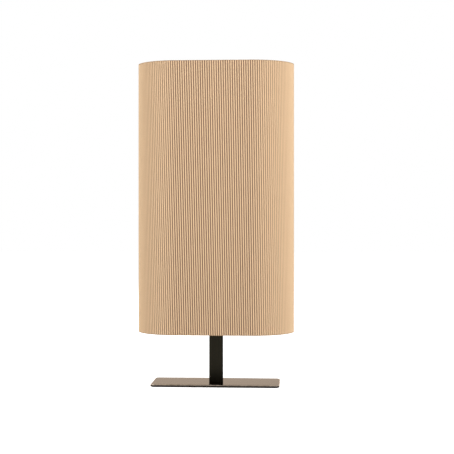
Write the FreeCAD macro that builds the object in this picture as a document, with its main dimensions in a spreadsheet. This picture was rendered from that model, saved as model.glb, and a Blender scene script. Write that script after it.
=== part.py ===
import FreeCAD, Part
import math
import os
import PartDesign, Sketcher
from FreeCAD import Rotation, Vector

# Pleated paper table lamp, in millimetres, Z up.
# The origin is on the table under the middle of the post. X runs along the base plate, and the lamp faces -Y.

doc = FreeCAD.newDocument("PleatedLamp")

# ---------------------------------------------------------------- driving dimensions

SIZES = {
    # base
    "plate_length": 234,
    "plate_depth": 90,
    "plate_thick": 4,
    "plate_corner": 8,
    "plate_bevel": 1.2,
    "pad_thick": 1,
    "pad_inset": 3,
    # post, a flat tube
    "post_width": 25,
    "post_depth": 15,
    "post_wall": 1.5,
    "post_corner": 2,
    "post_length": 227,
    "block_height": 14,
    "screw_spacing": 11,
    "screw_radius": 2.5,
    "screw_length": 14,
    "screw_head_radius": 4.8,
    "screw_head_height": 2.5,
    # lead and its bush in the back of the post
    "lead_radius": 3,
    "lead_bend": 7,
    "lead_height": 29,
    "lead_clearance": 0.3,
    "bush_wall": 1.4,
    "bush_flange_radius": 6.5,
    "bush_flange_thick": 2,
    "bush_grip": 0.4,
    "core_radius": 1.1,
    "core_bend": 4,
    # post cap, nipple and its nut
    "cap_flange": 2.5,
    "cap_spigot": 12,
    "nipple_radius": 5,
    "nipple_bore": 3.5,
    "nipple_grip": 8,
    "washer_radius": 8,
    "washer_thick": 1,
    "nut_flats": 14,
    "nut_height": 4,
    # lampholder
    "boss_radius": 8,
    "boss_height": 8,
    "holder_radius": 21.5,
    "holder_cone": 5,
    "holder_floor": 14,
    "holder_height": 22,
    "holder_wall": 2,
    "holder_well": 9,
    "skirt_height": 36,
    "skirt_radius": 19.75,
    "skirt_shoulder": 11,
    "shoulder_radius": 23.5,
    "shoulder_thick": 2.5,
    "socket_depth": 21,
    "insert_radius": 17.6,
    "insert_recess": 4,
    "insert_recess_radius": 14.5,
    "insert_top_gap": 2.5,
    "contact_width": 5,
    "contact_thick": 0.6,
    "terminal_offset": 9,
    "terminal_radius": 1.5,
    "terminal_length": 7,
    "terminal_head_radius": 2.6,
    "terminal_head_height": 1.4,
    "grub_radius": 1.5,
    "grub_length": 3.2,
    # bulb
    "bulb_radius": 15,
    "bulb_length": 181,
    "bulb_wall": 1,
    "bulb_neck": 12.4,
    "bulb_cap_radius": 13.1,
    "bulb_cap_flare": 14.2,
    "bulb_cap_height": 20,
    "bulb_cap_wall": 0.4,
    "bulb_tip_radius": 4.6,
    "bulb_tip_height": 1,
    "bulb_cone_height": 4,
    "bulb_cone_radius": 11,
    "bulb_thread_gap": 0.3,
    "stem_radius": 5,
    "stem_length": 120,
    # shade
    "shade_bottom": 97,
    "shade_height": 490,
    "shade_width": 286,
    "shade_depth": 150,
    "pleat_pitch": 4,
    "pleat_depth": 1.8,
    "paper_thick": 0.25,
    "liner_thick": 0.5,
    "liner_inset": 1,
    "glue_gap": 0.05,
    "wire_radius": 1.5,
    "ring_inset": 6,
    "fitter_radius": 28.5,
    "fitter_bore": 20.3,
    "fitter_thick": 1.5,
    "fitter_lip": 1.2,
    "arm_lap": 4,
    # ring nut that clamps the shade
    "collar_radius": 27,
    "collar_height": 9,
    "collar_flange": 2.5,
    "collar_body_radius": 23.5,
    "collar_thread_gap": 0.3,
    "collar_ribs": 24,
    "collar_rib_radius": 0.9,
    # clearances
    "fit_gap": 0.05,
    "seat_gap": 0.1,
}

# Places that follow from the driving dimensions.
PLACES = {
    "plate_top": "Sizes.pad_thick + Sizes.plate_thick",
    "post_top": "plate_top + Sizes.post_length",
    "bore_width": "Sizes.post_width / 2 - Sizes.post_wall - Sizes.fit_gap",
    "bore_depth": "Sizes.post_depth / 2 - Sizes.post_wall - Sizes.fit_gap",
    "bush_bore": "Sizes.lead_radius + Sizes.lead_clearance",
    "bush_radius": "bush_bore + Sizes.bush_wall",
    "cap_top": "post_top + Sizes.cap_flange",
    "nut_bottom": "cap_top + Sizes.washer_thick",
    "holder_bottom": "nut_bottom + Sizes.nut_height",
    "nipple_bottom": "cap_top - Sizes.cap_spigot",
    "nipple_top": "holder_bottom + Sizes.nipple_grip",
    "floor_top": "holder_bottom + Sizes.holder_floor",
    "recess_top": "floor_top + Sizes.insert_recess",
    "skirt_bottom": "holder_bottom + Sizes.holder_height",
    "skirt_top": "skirt_bottom + Sizes.skirt_height",
    "seat_top": "skirt_bottom + Sizes.skirt_shoulder",
    "socket_floor": "skirt_top - Sizes.socket_depth",
    "insert_top": "socket_floor - Sizes.insert_top_gap",
    "tip_bottom": "socket_floor + Sizes.bulb_tip_height",
    "socket_radius": "Sizes.bulb_cap_radius + Sizes.bulb_thread_gap",
    "cone_bottom": "tip_bottom + Sizes.bulb_tip_height",
    "cone_top": "cone_bottom + Sizes.bulb_cone_height",
    "bulb_cap_top": "cone_top + Sizes.bulb_cap_height",
    "bulb_top": "tip_bottom + Sizes.bulb_length",
    "fitter_bottom": "seat_top + Sizes.seat_gap",
    "fitter_top": "fitter_bottom + Sizes.fitter_thick",
    "collar_bottom": "fitter_top + Sizes.seat_gap",
    "arm_level": "fitter_bottom - Sizes.fit_gap - Sizes.wire_radius",
    "arm_start": "Sizes.fitter_radius - Sizes.arm_lap",
    "shade_top": "Sizes.shade_bottom + Sizes.shade_height",
    "half_flat": "(Sizes.shade_width - Sizes.shade_depth) / 2",
    "pleat_rise": "sqrt(1 + pow(2 * Sizes.pleat_depth / Sizes.pleat_pitch; 2)) * Sizes.paper_thick / 2",
    "pleat_radius": "Sizes.shade_depth / 2 - Sizes.pleat_depth / 2 - pleat_rise",
    "pleat_count": "round((4 * half_flat + 2 * pi * pleat_radius) / Sizes.pleat_pitch)",
    "liner_radius": "pleat_radius - Sizes.pleat_depth / 2 - pleat_rise - Sizes.glue_gap",
    "ring_radius": "liner_radius - Sizes.liner_thick - Sizes.fit_gap - Sizes.wire_radius",
    "bottom_ring_level": "Sizes.shade_bottom + Sizes.ring_inset",
    "top_ring_level": "shade_top - Sizes.ring_inset",
    "stay_reach": "sqrt(pow(half_flat; 2) + pow(ring_radius; 2))",
}


def fill_sheet(name, values):
    """One sheet of named values: alias in column A, value in column B."""
    sheet = doc.addObject("Spreadsheet::Sheet", name)
    for row, (alias, value) in enumerate(values.items(), 1):
        sheet.set(f"A{row}", alias)
        sheet.set(f"B{row}", value)
        sheet.setAlias(f"B{row}", alias)
    doc.recompute()
    return sheet


fill_sheet("Sizes", {alias: str(value) for alias, value in SIZES.items()})
places = fill_sheet("Places", {alias: "=" + formula for alias, formula in PLACES.items()})


def number(expression):
    """The present value of an expression on the two sheets."""
    return float(places.evalExpression(str(expression)))


# ---------------------------------------------------------------- sketching helpers

# The numbers by which a sketch knows its own axes, and the points of a line or an arc.
AXIS_ACROSS, AXIS_UP = range(-1, -3, -1)
START, END, CENTRE = range(1, 4)
ORIGIN = AXIS_ACROSS


def plane(body, role):
    """The body's own origin plane or axis with this role."""
    return next(feature for feature in body.Origin.OriginFeatures if feature.Role == role)


def new_body(label):
    body = doc.addObject("PartDesign::Body", label)
    body.Label = label
    return body


def new_sketch(body, role, level=None):
    """A sketch on one of the body's planes, lifted along the plane's normal by level."""
    sketch = body.newObject("Sketcher::SketchObject", body.Name + "_sketch")
    sketch.AttachmentSupport = (plane(body, role), [""])
    sketch.MapMode = "FlatFace"
    if level:
        sketch.setExpression("AttachmentOffset.Base.z", level)
    return sketch


def constrain(sketch, kind, *geometry, by=None):
    """Adds a constraint, bound to an expression when one is given."""
    if by is None:
        sketch.addConstraint(Sketcher.Constraint(kind, *geometry))
        return
    index = sketch.addConstraint(Sketcher.Constraint(kind, *geometry, number(by)))
    sketch.setExpression(f"Constraints[{index}]", str(by))


def place_point(sketch, geometry, point, across, up):
    constrain(sketch, "DistanceX", ORIGIN, START, geometry, point, by=across)
    constrain(sketch, "DistanceY", ORIGIN, START, geometry, point, by=up)


def line(sketch, start, end):
    return sketch.addGeometry(Part.LineSegment(Vector(*start, 0), Vector(*end, 0)), False)


def arc(sketch, centre, radius, first, last):
    circle = Part.Circle(Vector(*centre, 0), Vector(0, 0, 1), radius)
    turn = math.radians(first), math.radians(last)
    return sketch.addGeometry(Part.ArcOfCircle(circle, *turn), False)


def outline(sketch, points, domes=()):
    """A closed outline through points given as pairs of expressions. The side that leaves a point
    listed in domes is a quarter circle centred on the upright axis."""
    spots = [(number(across), number(up)) for across, up in points]
    sides = []
    for index, spot in enumerate(spots):
        following = spots[(index + 1) % len(spots)]
        if index in domes:
            level = min(spot[1], following[1])
            radius = max(spot[0], following[0])
            sides.append(arc(sketch, (0, level), radius, 0, 90))
            constrain(sketch, "PointOnObject", sides[-1], CENTRE, AXIS_UP)
        else:
            sides.append(line(sketch, spot, following))

    def ends(index):
        """The start and end points of a side, in the outline's direction."""
        backward = index in domes and spots[index][0] < spots[(index + 1) % len(spots)][0]
        return (END, START) if backward else (START, END)

    for index, side in enumerate(sides):
        following = (index + 1) % len(sides)
        constrain(sketch, "Coincident", side, ends(index)[1], sides[following], ends(following)[0])
    for index, (across, up) in enumerate(points):
        place_point(sketch, sides[index], ends(index)[0], across, up)


def stadium_loop(sketch, half_flat, radius):
    """A stadium about the origin: two flats along X joined by half circles."""
    flat, round_end = number(half_flat), number(radius)
    back = line(sketch, (-flat, round_end), (flat, round_end))
    right = arc(sketch, (flat, 0), round_end, -90, 90)
    front = line(sketch, (flat, -round_end), (-flat, -round_end))
    left = arc(sketch, (-flat, 0), round_end, 90, 270)
    constrain(sketch, "Tangent", back, END, right, END)
    constrain(sketch, "Tangent", front, START, right, START)
    constrain(sketch, "Tangent", front, END, left, END)
    constrain(sketch, "Tangent", back, START, left, START)
    constrain(sketch, "Horizontal", back)
    constrain(sketch, "PointOnObject", right, CENTRE, AXIS_ACROSS)
    constrain(sketch, "Symmetric", right, CENTRE, left, CENTRE, ORIGIN, START)
    constrain(sketch, "Radius", right, by=radius)
    constrain(sketch, "DistanceX", ORIGIN, START, right, CENTRE, by=half_flat)


def rounded_loop(sketch, half_across, half_up, corner):
    """A rectangle about the origin with round corners."""
    half_across, half_up, corner = f"({half_across})", f"({half_up})", f"({corner})"
    across, up, radius = number(half_across), number(half_up), number(corner)
    flat, rise = across - radius, up - radius
    top = line(sketch, (-flat, up), (flat, up))
    right = line(sketch, (across, rise), (across, -rise))
    bottom = line(sketch, (flat, -up), (-flat, -up))
    left = line(sketch, (-across, -rise), (-across, rise))
    corners = [
        arc(sketch, (flat, rise), radius, 0, 90),
        arc(sketch, (flat, -rise), radius, -90, 0),
        arc(sketch, (-flat, -rise), radius, 180, 270),
        arc(sketch, (-flat, rise), radius, 90, 180),
    ]
    for turn, before, after in zip(corners, (top, right, bottom, left), (right, bottom, left, top)):
        constrain(sketch, "Tangent", before, END, turn, END)
        constrain(sketch, "Tangent", after, START, turn, START)
    for side in (top, bottom):
        constrain(sketch, "Horizontal", side)
    for side in (left, right):
        constrain(sketch, "Vertical", side)
    for turn in corners[1:]:
        constrain(sketch, "Equal", corners[0], turn)
    constrain(sketch, "Radius", corners[0], by=corner)
    constrain(sketch, "Symmetric", corners[0], CENTRE, corners[2], CENTRE, ORIGIN, START)
    place_point(sketch, corners[0], CENTRE, f"{half_across} - {corner}", f"{half_up} - {corner}")


def circle_loop(sketch, across, up, radius):
    spot = Vector(number(across), number(up), 0)
    ring = sketch.addGeometry(Part.Circle(spot, Vector(0, 0, 1), number(radius)), False)
    place_point(sketch, ring, CENTRE, across, up)
    constrain(sketch, "Radius", ring, by=radius)


# ---------------------------------------------------------------- feature helpers

def pad(body, sketch, length, both_ways=False):
    feature = body.newObject("PartDesign::Pad", body.Name + "_pad")
    feature.Profile = sketch
    feature.Midplane = both_ways
    feature.setExpression("Length", length)
    body.Tip = feature
    return feature


def revolved(label, points, domes=()):
    """A turned piece: its half section, in pairs of radius and height, spun round Z."""
    body = new_body(label)
    sketch = new_sketch(body, "XZ_Plane")
    outline(sketch, points, domes)
    feature = body.newObject("PartDesign::Revolution", label + "_turn")
    feature.Profile = sketch
    feature.ReferenceAxis = (sketch, ["V_Axis"])
    feature.Angle = 360
    body.Tip = feature
    return body


def cylinder(name, radius, height, x="0", y="0", z="0", axis=None):
    """A cylinder whose base centre and size are expressions, upright unless turned about an axis."""
    shape = doc.addObject("Part::Cylinder", name)
    shape.Label = name
    shape.setExpression("Radius", radius)
    shape.setExpression("Height", height)
    if axis:
        shape.Placement.Rotation = Rotation(Vector(*axis[:3]), axis[3])
    for side, place in zip("xyz", (x, y, z)):
        shape.setExpression(f"Placement.Base.{side}", place)
    return shape


def cone(name, low_radius, high_radius, height, x, z):
    shape = doc.addObject("Part::Cone", name)
    shape.setExpression("Radius1", low_radius)
    shape.setExpression("Radius2", high_radius)
    shape.setExpression("Height", height)
    shape.setExpression("Placement.Base.x", x)
    shape.setExpression("Placement.Base.z", z)
    return shape


def block(name, x, y, z, length, width, height):
    """A box from its low corner and sides, all of them expressions."""
    shape = doc.addObject("Part::Box", name)
    for prop, value in zip(("Length", "Width", "Height"), (length, width, height)):
        shape.setExpression(prop, value)
    for side, place in zip("xyz", (x, y, z)):
        shape.setExpression(f"Placement.Base.{side}", place)
    return shape


def joined(label, shapes):
    union = doc.addObject("Part::MultiFuse", label)
    union.Label = label
    union.Shapes = shapes
    return union


def grouped(label, shapes):
    """Separate solids kept in one node, for identical small pieces."""
    group = doc.addObject("Part::Compound", label)
    group.Label = label
    group.Links = shapes
    return group


def cut(label, base, tool):
    difference = doc.addObject("Part::Cut", label)
    difference.Label = label
    difference.Base = base
    difference.Tool = tool
    return difference


nodes = []


def keep(node):
    nodes.append(node)
    return node


# ---------------------------------------------------------------- base

def top_face_name(shape):
    """The name of the flat face that lies highest."""
    heights = [face.CenterOfMass.z for face in shape.Faces]
    return f"Face{heights.index(max(heights)) + 1}"


def make_foot_pad():
    body = new_body("foot_pad")
    sketch = new_sketch(body, "XY_Plane")
    rounded_loop(
        sketch,
        "Sizes.plate_length / 2 - Sizes.pad_inset",
        "Sizes.plate_depth / 2 - Sizes.pad_inset",
        "Sizes.plate_corner - Sizes.pad_inset",
    )
    pad(body, sketch, "Sizes.pad_thick")
    return body


def screw_spots():
    return [f"{side} * Sizes.screw_spacing / 2" for side in (-1, 1)]


def make_base_plate():
    """The plate, bevelled round its top, with a countersunk hole under each foot of the post."""
    blank = new_body("plate_blank")
    sketch = new_sketch(blank, "XY_Plane", "Sizes.pad_thick")
    rounded_loop(sketch, "Sizes.plate_length / 2", "Sizes.plate_depth / 2", "Sizes.plate_corner")
    slab = pad(blank, sketch, "Sizes.plate_thick")
    doc.recompute()
    bevel = blank.newObject("PartDesign::Chamfer", "plate_bevel_edge")
    bevel.Base = (slab, [top_face_name(slab.Shape)])
    bevel.setExpression("Size", "Sizes.plate_bevel")
    blank.Tip = bevel
    holes = []
    for index, spot in enumerate(screw_spots()):
        holes.append(cylinder(
            f"plate_hole_{index}", "Sizes.screw_radius + Sizes.fit_gap", "Sizes.plate_thick",
            x=spot, z="Sizes.pad_thick"))
        holes.append(cone(
            f"plate_sink_{index}", "Sizes.screw_head_radius + Sizes.fit_gap",
            "Sizes.screw_radius + Sizes.fit_gap", "Sizes.screw_head_height + Sizes.fit_gap",
            spot, "Sizes.pad_thick"))
    return cut("base_plate", blank, joined("plate_holes", holes))


def make_base_screws():
    screws = []
    for index, spot in enumerate(screw_spots()):
        head = cone(
            f"screw_head_{index}", "Sizes.screw_head_radius", "Sizes.screw_radius",
            "Sizes.screw_head_height", spot, "Sizes.pad_thick + Sizes.fit_gap")
        shank = cylinder(
            f"screw_shank_{index}", "Sizes.screw_radius", "Sizes.screw_length",
            x=spot, z="Sizes.pad_thick + Sizes.fit_gap")
        screws.append(joined(f"base_screw_{index}", [head, shank]))
    return grouped("base_screws", screws)


def make_foot_block():
    """The block welded into the foot of the post, with a tapped hole for each screw."""
    body = new_body("foot_block_blank")
    sketch = new_sketch(body, "XY_Plane", "Places.plate_top")
    rounded_loop(
        sketch, "Places.bore_width", "Places.bore_depth", "Sizes.post_corner - Sizes.post_wall")
    pad(body, sketch, "Sizes.block_height")
    holes = []
    for index, spot in enumerate(screw_spots()):
        holes.append(cylinder(
            f"block_hole_{index}", "Sizes.screw_radius + Sizes.fit_gap", "Sizes.block_height",
            x=spot, z="Places.plate_top"))
    return cut("post_foot_block", body, joined("block_holes", holes))


# ---------------------------------------------------------------- post and lead

def make_post_tube():
    """A flat steel tube with a round hole in its back for the lead's bush."""
    body = new_body("post_blank")
    sketch = new_sketch(body, "XY_Plane", "Places.plate_top")
    rounded_loop(sketch, "Sizes.post_width / 2", "Sizes.post_depth / 2", "Sizes.post_corner")
    rounded_loop(
        sketch, "Sizes.post_width / 2 - Sizes.post_wall", "Sizes.post_depth / 2 - Sizes.post_wall",
        "Sizes.post_corner - Sizes.post_wall")
    pad(body, sketch, "Sizes.post_length")
    hole = cylinder(
        "post_hole", "Places.bush_radius + Sizes.fit_gap", "Sizes.post_depth",
        y="Sizes.post_depth", z="Sizes.lead_height", axis=(1, 0, 0, 90))
    return cut("post_tube", body, hole)


def make_cable_bush():
    """A turned nylon bush along Y: flange outside the wall, barrel through it, lip inside."""
    wall_out = "Sizes.post_depth / 2"
    barrel = cylinder(
        "bush_barrel", "Places.bush_radius",
        "Sizes.post_wall + Sizes.bush_grip + Sizes.bush_flange_thick",
        y=f"{wall_out} + Sizes.bush_flange_thick", z="Sizes.lead_height", axis=(1, 0, 0, 90))
    flange = cylinder(
        "bush_flange", "Sizes.bush_flange_radius", "Sizes.bush_flange_thick - Sizes.fit_gap",
        y=f"{wall_out} + Sizes.bush_flange_thick", z="Sizes.lead_height", axis=(1, 0, 0, 90))
    bore = cylinder(
        "bush_bore", "Places.bush_bore", "2 * Sizes.post_depth",
        y="2 * Sizes.post_depth", z="Sizes.lead_height", axis=(1, 0, 0, 90))
    return cut("cable_bush", joined("bush_solid", [barrel, flange]), bore)


def swept(label, radius, legs, normal):
    """A round tube along a path of lines and arcs, which starts at the path's first point."""
    path = Part.Wire(legs)
    circle = Part.Wire(Part.makeCircle(radius, legs[0].firstVertex().Point, normal))
    feature = doc.addObject("Part::Feature", label)
    feature.Shape = path.makePipeShell([circle], True, False)
    feature.Label = label
    wanted = math.pi * radius ** 2 * path.Length
    print(f"{label}: length {path.Length:.1f}, volume {feature.Shape.Volume / wanted:.4f} of its section's")
    return feature


def quarter_turn(start, middle, end):
    return Part.Arc(start, middle, end).toShape()


def make_inner_lead():
    """The sheathed lead: in through the bush, one bend, and straight up the post and the nipple."""
    bend, level = number("Sizes.lead_bend"), number("Sizes.lead_height")
    mouth = number("Sizes.post_depth / 2 + Sizes.bush_flange_thick / 2")
    top = number("Places.nipple_top + Sizes.fit_gap")
    dip = bend * (1 - math.sqrt(0.5))
    corner = Vector(0, bend, level)
    bent = Vector(0, 0, level + bend)
    legs = [
        Part.makeLine(Vector(0, mouth, level), corner),
        quarter_turn(corner, Vector(0, dip, level + dip), bent),
        Part.makeLine(bent, Vector(0, 0, top)),
    ]
    return swept("inner_lead", number("Sizes.lead_radius"), legs, Vector(0, -1, 0))


def make_core(label, side):
    """One insulated core, from the sheath's end up and outward to its terminal."""
    radius, bend = number("Sizes.core_radius"), number("Sizes.core_bend")
    start = number("Places.nipple_top + 2 * Sizes.fit_gap")
    top = number("Places.recess_top - Sizes.fit_gap")
    near = radius + number("Sizes.fit_gap")
    far = number("Sizes.terminal_offset - Sizes.terminal_head_radius - Sizes.core_radius - Sizes.fit_gap")
    rise = (top - start) / 2
    step = far - near
    # Two equal arcs turned by the same angle, so the core leaves upright and ends upright.
    reach = min(bend, (rise ** 2 + (step / 2) ** 2) / step)
    angle = math.acos(1 - step / 2 / reach)
    climb = reach * math.sin(angle)

    def spot(x, z):
        return Vector(side * x, 0, z)

    def on_arc(share, outward):
        across = reach * (1 - math.cos(angle * share))
        up = reach * math.sin(angle * share)
        if outward:
            return spot(near + across, start + rise - climb + up)
        return spot(far - across, start + rise + climb - up)

    waist = spot((near + far) / 2, start + rise)
    legs = [
        Part.makeLine(spot(near, start), on_arc(0, True)),
        quarter_turn(on_arc(0, True), on_arc(0.5, True), waist),
        quarter_turn(waist, on_arc(0.5, False), on_arc(0, False)),
        Part.makeLine(on_arc(0, False), spot(far, top)),
    ]
    return swept(label, radius, legs, Vector(0, 0, 1))


# ---------------------------------------------------------------- post cap and nipple

def make_post_cap():
    body = new_body("post_cap_blank")
    spigot = new_sketch(body, "XY_Plane", "Places.nipple_bottom")
    rounded_loop(
        spigot, "Places.bore_width", "Places.bore_depth", "Sizes.post_corner - Sizes.post_wall")
    pad(body, spigot, "Sizes.cap_spigot")
    flange = new_sketch(body, "XY_Plane", "Places.post_top")
    rounded_loop(flange, "Sizes.post_width / 2", "Sizes.post_depth / 2", "Sizes.post_corner")
    pad(body, flange, "Sizes.cap_flange")
    hole = cylinder(
        "post_cap_hole", "Sizes.nipple_radius + Sizes.fit_gap", "2 * Sizes.cap_spigot",
        z="Places.nipple_bottom - Sizes.cap_spigot / 2")
    return cut("post_cap", body, hole)


def make_nipple():
    return revolved("nipple", [
        ("Sizes.nipple_bore", "Places.nipple_bottom"),
        ("Sizes.nipple_radius", "Places.nipple_bottom"),
        ("Sizes.nipple_radius", "Places.nipple_top"),
        ("Sizes.nipple_bore", "Places.nipple_top"),
    ])


def make_nipple_washer():
    inner = "Sizes.nipple_radius + Sizes.fit_gap"
    return revolved("nipple_washer", [
        (inner, "Places.cap_top"),
        ("Sizes.washer_radius", "Places.cap_top"),
        ("Sizes.washer_radius", "Places.nut_bottom"),
        (inner, "Places.nut_bottom"),
    ])


def make_nipple_nut():
    """A hexagon nut: a six-sided prism less its bore."""
    hexagon = doc.addObject("Part::Prism", "nut_hexagon")
    hexagon.Polygon = 6
    hexagon.setExpression("Circumradius", "Sizes.nut_flats / sqrt(3)")
    hexagon.setExpression("Height", "Sizes.nut_height")
    hexagon.setExpression("Placement.Base.z", "Places.nut_bottom")
    bore = cylinder(
        "nut_bore", "Sizes.nipple_radius + Sizes.fit_gap", "Sizes.nut_height", z="Places.nut_bottom")
    return cut("nipple_nut", hexagon, bore)


# ---------------------------------------------------------------- lampholder

def make_lampholder_cap():
    """The holder's lower moulding: threaded boss, cone and cup, with a floor that carries the insert."""
    cup = "Sizes.holder_radius - Sizes.holder_wall"
    inner = "Sizes.nipple_radius + Sizes.fit_gap"
    boss_top = "Places.holder_bottom + Sizes.boss_height"
    body = revolved("holder_cap_blank", [
        (inner, "Places.holder_bottom"),
        ("Sizes.boss_radius", "Places.holder_bottom"),
        ("Sizes.boss_radius", boss_top),
        ("Sizes.holder_radius", f"{boss_top} + Sizes.holder_cone"),
        ("Sizes.holder_radius", "Places.skirt_bottom"),
        (cup, "Places.skirt_bottom"),
        (cup, "Places.floor_top"),
        ("Sizes.holder_well", "Places.floor_top"),
        ("Sizes.holder_well", "Places.nipple_top + 2 * Sizes.holder_wall"),
        (inner, "Places.nipple_top + Sizes.holder_wall"),
    ])
    hole = cylinder(
        "grub_hole", "Sizes.grub_radius + Sizes.fit_gap", "Sizes.boss_radius",
        x="Sizes.nipple_radius", z="Places.holder_bottom + Sizes.boss_height / 2", axis=(0, 1, 0, 90))
    return cut("lampholder_cap", body, hole)


def make_grub_screw():
    return cylinder(
        "nipple_grub_screw", "Sizes.grub_radius", "Sizes.grub_length",
        x="Sizes.nipple_radius + Sizes.fit_gap", z="Places.holder_bottom + Sizes.boss_height / 2",
        axis=(0, 1, 0, 90))


def terminal_spots():
    return [f"{side} * Sizes.terminal_offset" for side in (-1, 1)]


def make_lampholder_insert():
    """The ceramic core: a round block, hollow below, with a hole for each terminal screw."""
    body = revolved("insert_blank", [
        ("0", "Places.recess_top"),
        ("Sizes.insert_recess_radius", "Places.recess_top"),
        ("Sizes.insert_recess_radius", "Places.floor_top"),
        ("Sizes.insert_radius", "Places.floor_top"),
        ("Sizes.insert_radius", "Places.insert_top"),
        ("0", "Places.insert_top"),
    ])
    holes = []
    for index, spot in enumerate(terminal_spots()):
        holes.append(cylinder(
            f"insert_hole_{index}", "Sizes.terminal_radius + Sizes.fit_gap",
            "Sizes.terminal_length + Sizes.fit_gap", x=spot, z="Places.recess_top"))
    return cut("lampholder_insert", body, joined("insert_holes", holes))


def make_terminal_screws():
    screws = []
    for index, spot in enumerate(terminal_spots()):
        head = cylinder(
            f"terminal_head_{index}", "Sizes.terminal_head_radius", "Sizes.terminal_head_height",
            x=spot, z="Places.recess_top - Sizes.terminal_head_height")
        shank = cylinder(
            f"terminal_shank_{index}", "Sizes.terminal_radius", "Sizes.terminal_length",
            x=spot, z="Places.recess_top")
        screws.append(joined(f"terminal_screw_{index}", [head, shank]))
    return grouped("terminal_screws", screws)


def make_lampholder_skirt():
    """The holder's upper moulding: a cup over the insert, a shoulder and the long threaded skirt."""
    cavity = "Sizes.insert_radius + Sizes.fit_gap"
    shoulder_low = "Places.seat_top - Sizes.shoulder_thick"
    return revolved("lampholder_skirt", [
        (cavity, "Places.skirt_bottom"),
        ("Sizes.holder_radius", "Places.skirt_bottom"),
        ("Sizes.holder_radius", shoulder_low),
        ("Sizes.shoulder_radius", shoulder_low),
        ("Sizes.shoulder_radius", "Places.seat_top"),
        ("Sizes.skirt_radius", "Places.seat_top"),
        ("Sizes.skirt_radius", "Places.skirt_top"),
        ("Places.socket_radius", "Places.skirt_top"),
        ("Places.socket_radius", "Places.socket_floor"),
        (cavity, "Places.socket_floor"),
    ])


def make_centre_contact():
    """A brass tongue across the insert: a flat foot, an upright and a tip under the bulb's contact."""
    body = new_body("centre_contact")
    sketch = new_sketch(body, "XZ_Plane")
    thick = "Sizes.contact_thick"
    foot = "-Sizes.contact_width"
    base = "Places.insert_top"
    tip = "Places.tip_bottom - Sizes.fit_gap"
    outline(sketch, [
        (foot, base),
        ("Sizes.contact_width / 2", base),
        ("Sizes.contact_width / 2", tip),
        (foot, tip),
        (foot, f"{tip} - {thick}"),
        (f"Sizes.contact_width / 2 - {thick}", f"{tip} - {thick}"),
        (f"Sizes.contact_width / 2 - {thick}", f"{base} + {thick}"),
        (foot, f"{base} + {thick}"),
    ])
    pad(body, sketch, "Sizes.contact_width", both_ways=True)
    return body


def make_side_contact():
    """A brass tongue that stands beside the bulb's cap and presses on its thread."""
    edge = "Sizes.bulb_cone_radius + Sizes.contact_thick"
    return block(
        "side_contact", edge, "-Sizes.contact_width / 2", "Places.insert_top",
        "Sizes.contact_thick", "Sizes.contact_width",
        "Places.cone_bottom - Places.insert_top")


# ---------------------------------------------------------------- bulb

def make_bulb_glass():
    """A tubular glass with a domed end and a neck that sits in the cap."""
    neck_bottom = "Places.bulb_cap_top - Sizes.bulb_wall * 4"
    shoulder = "Places.bulb_cap_top + Sizes.fit_gap"
    inner = "Sizes.bulb_radius - Sizes.bulb_wall"
    dome = "Places.bulb_top - Sizes.bulb_radius"
    return revolved("bulb_glass", [
        ("Sizes.bulb_neck", neck_bottom),
        ("Sizes.bulb_neck", shoulder),
        ("Sizes.bulb_radius", f"{shoulder} + Sizes.bulb_radius - Sizes.bulb_neck"),
        ("Sizes.bulb_radius", dome),
        ("0", "Places.bulb_top"),
        ("0", "Places.bulb_top - Sizes.bulb_wall"),
        (inner, dome),
        (inner, f"{shoulder} + Sizes.bulb_radius - Sizes.bulb_neck"),
        ("Sizes.bulb_neck - Sizes.bulb_wall", shoulder),
        ("Sizes.bulb_neck - Sizes.bulb_wall", neck_bottom),
    ], domes=(3, 5))


def make_bulb_cap():
    """The screw cap, a thin shell that flares to meet the glass."""
    wall = "Sizes.bulb_cap_wall"
    flare = "Places.bulb_cap_top - 2 * (Sizes.bulb_cap_flare - Sizes.bulb_cap_radius)"
    return revolved("bulb_cap", [
        ("Sizes.bulb_cone_radius + Sizes.fit_gap", "Places.cone_top"),
        ("Sizes.bulb_cap_radius", "Places.cone_top + Sizes.bulb_cap_radius - Sizes.bulb_cone_radius"),
        ("Sizes.bulb_cap_radius", flare),
        ("Sizes.bulb_cap_flare", "Places.bulb_cap_top"),
        (f"Sizes.bulb_cap_flare - {wall}", "Places.bulb_cap_top"),
        (f"Sizes.bulb_cap_radius - {wall}", flare),
        (f"Sizes.bulb_cap_radius - {wall}", "Places.cone_top + Sizes.bulb_cap_radius - Sizes.bulb_cone_radius"),
        ("Sizes.bulb_cone_radius + Sizes.fit_gap", f"Places.cone_top + {wall}"),
    ])


def make_bulb_insulator():
    return revolved("bulb_insulator", [
        ("0", "Places.cone_bottom"),
        ("Sizes.bulb_tip_radius", "Places.cone_bottom"),
        ("Sizes.bulb_cone_radius", "Places.cone_top"),
        ("Sizes.bulb_cone_radius", "Places.cone_top + Sizes.bulb_wall"),
        ("0", "Places.cone_top + Sizes.bulb_wall"),
    ])


def make_bulb_contact():
    return revolved("bulb_contact", [
        ("0", "Places.tip_bottom"),
        ("Sizes.bulb_tip_radius - Sizes.bulb_tip_height / 2", "Places.tip_bottom"),
        ("Sizes.bulb_tip_radius", "Places.cone_bottom"),
        ("0", "Places.cone_bottom"),
    ])


def make_bulb_stem():
    """The light column inside the glass, on its driver's foot."""
    foot = "Places.cone_top + Sizes.bulb_wall"
    wide = "Sizes.bulb_neck - Sizes.bulb_wall - Sizes.fit_gap"
    return revolved("bulb_stem", [
        ("0", foot),
        (wide, foot),
        (wide, "Places.bulb_cap_top"),
        ("Sizes.stem_radius", "Places.bulb_cap_top + Sizes.stem_radius"),
        ("Sizes.stem_radius", "Places.bulb_cap_top + Sizes.stem_length"),
        ("0", "Places.bulb_cap_top + Sizes.stem_length + Sizes.stem_radius"),
    ], domes=(4,))


# ---------------------------------------------------------------- shade

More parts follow.
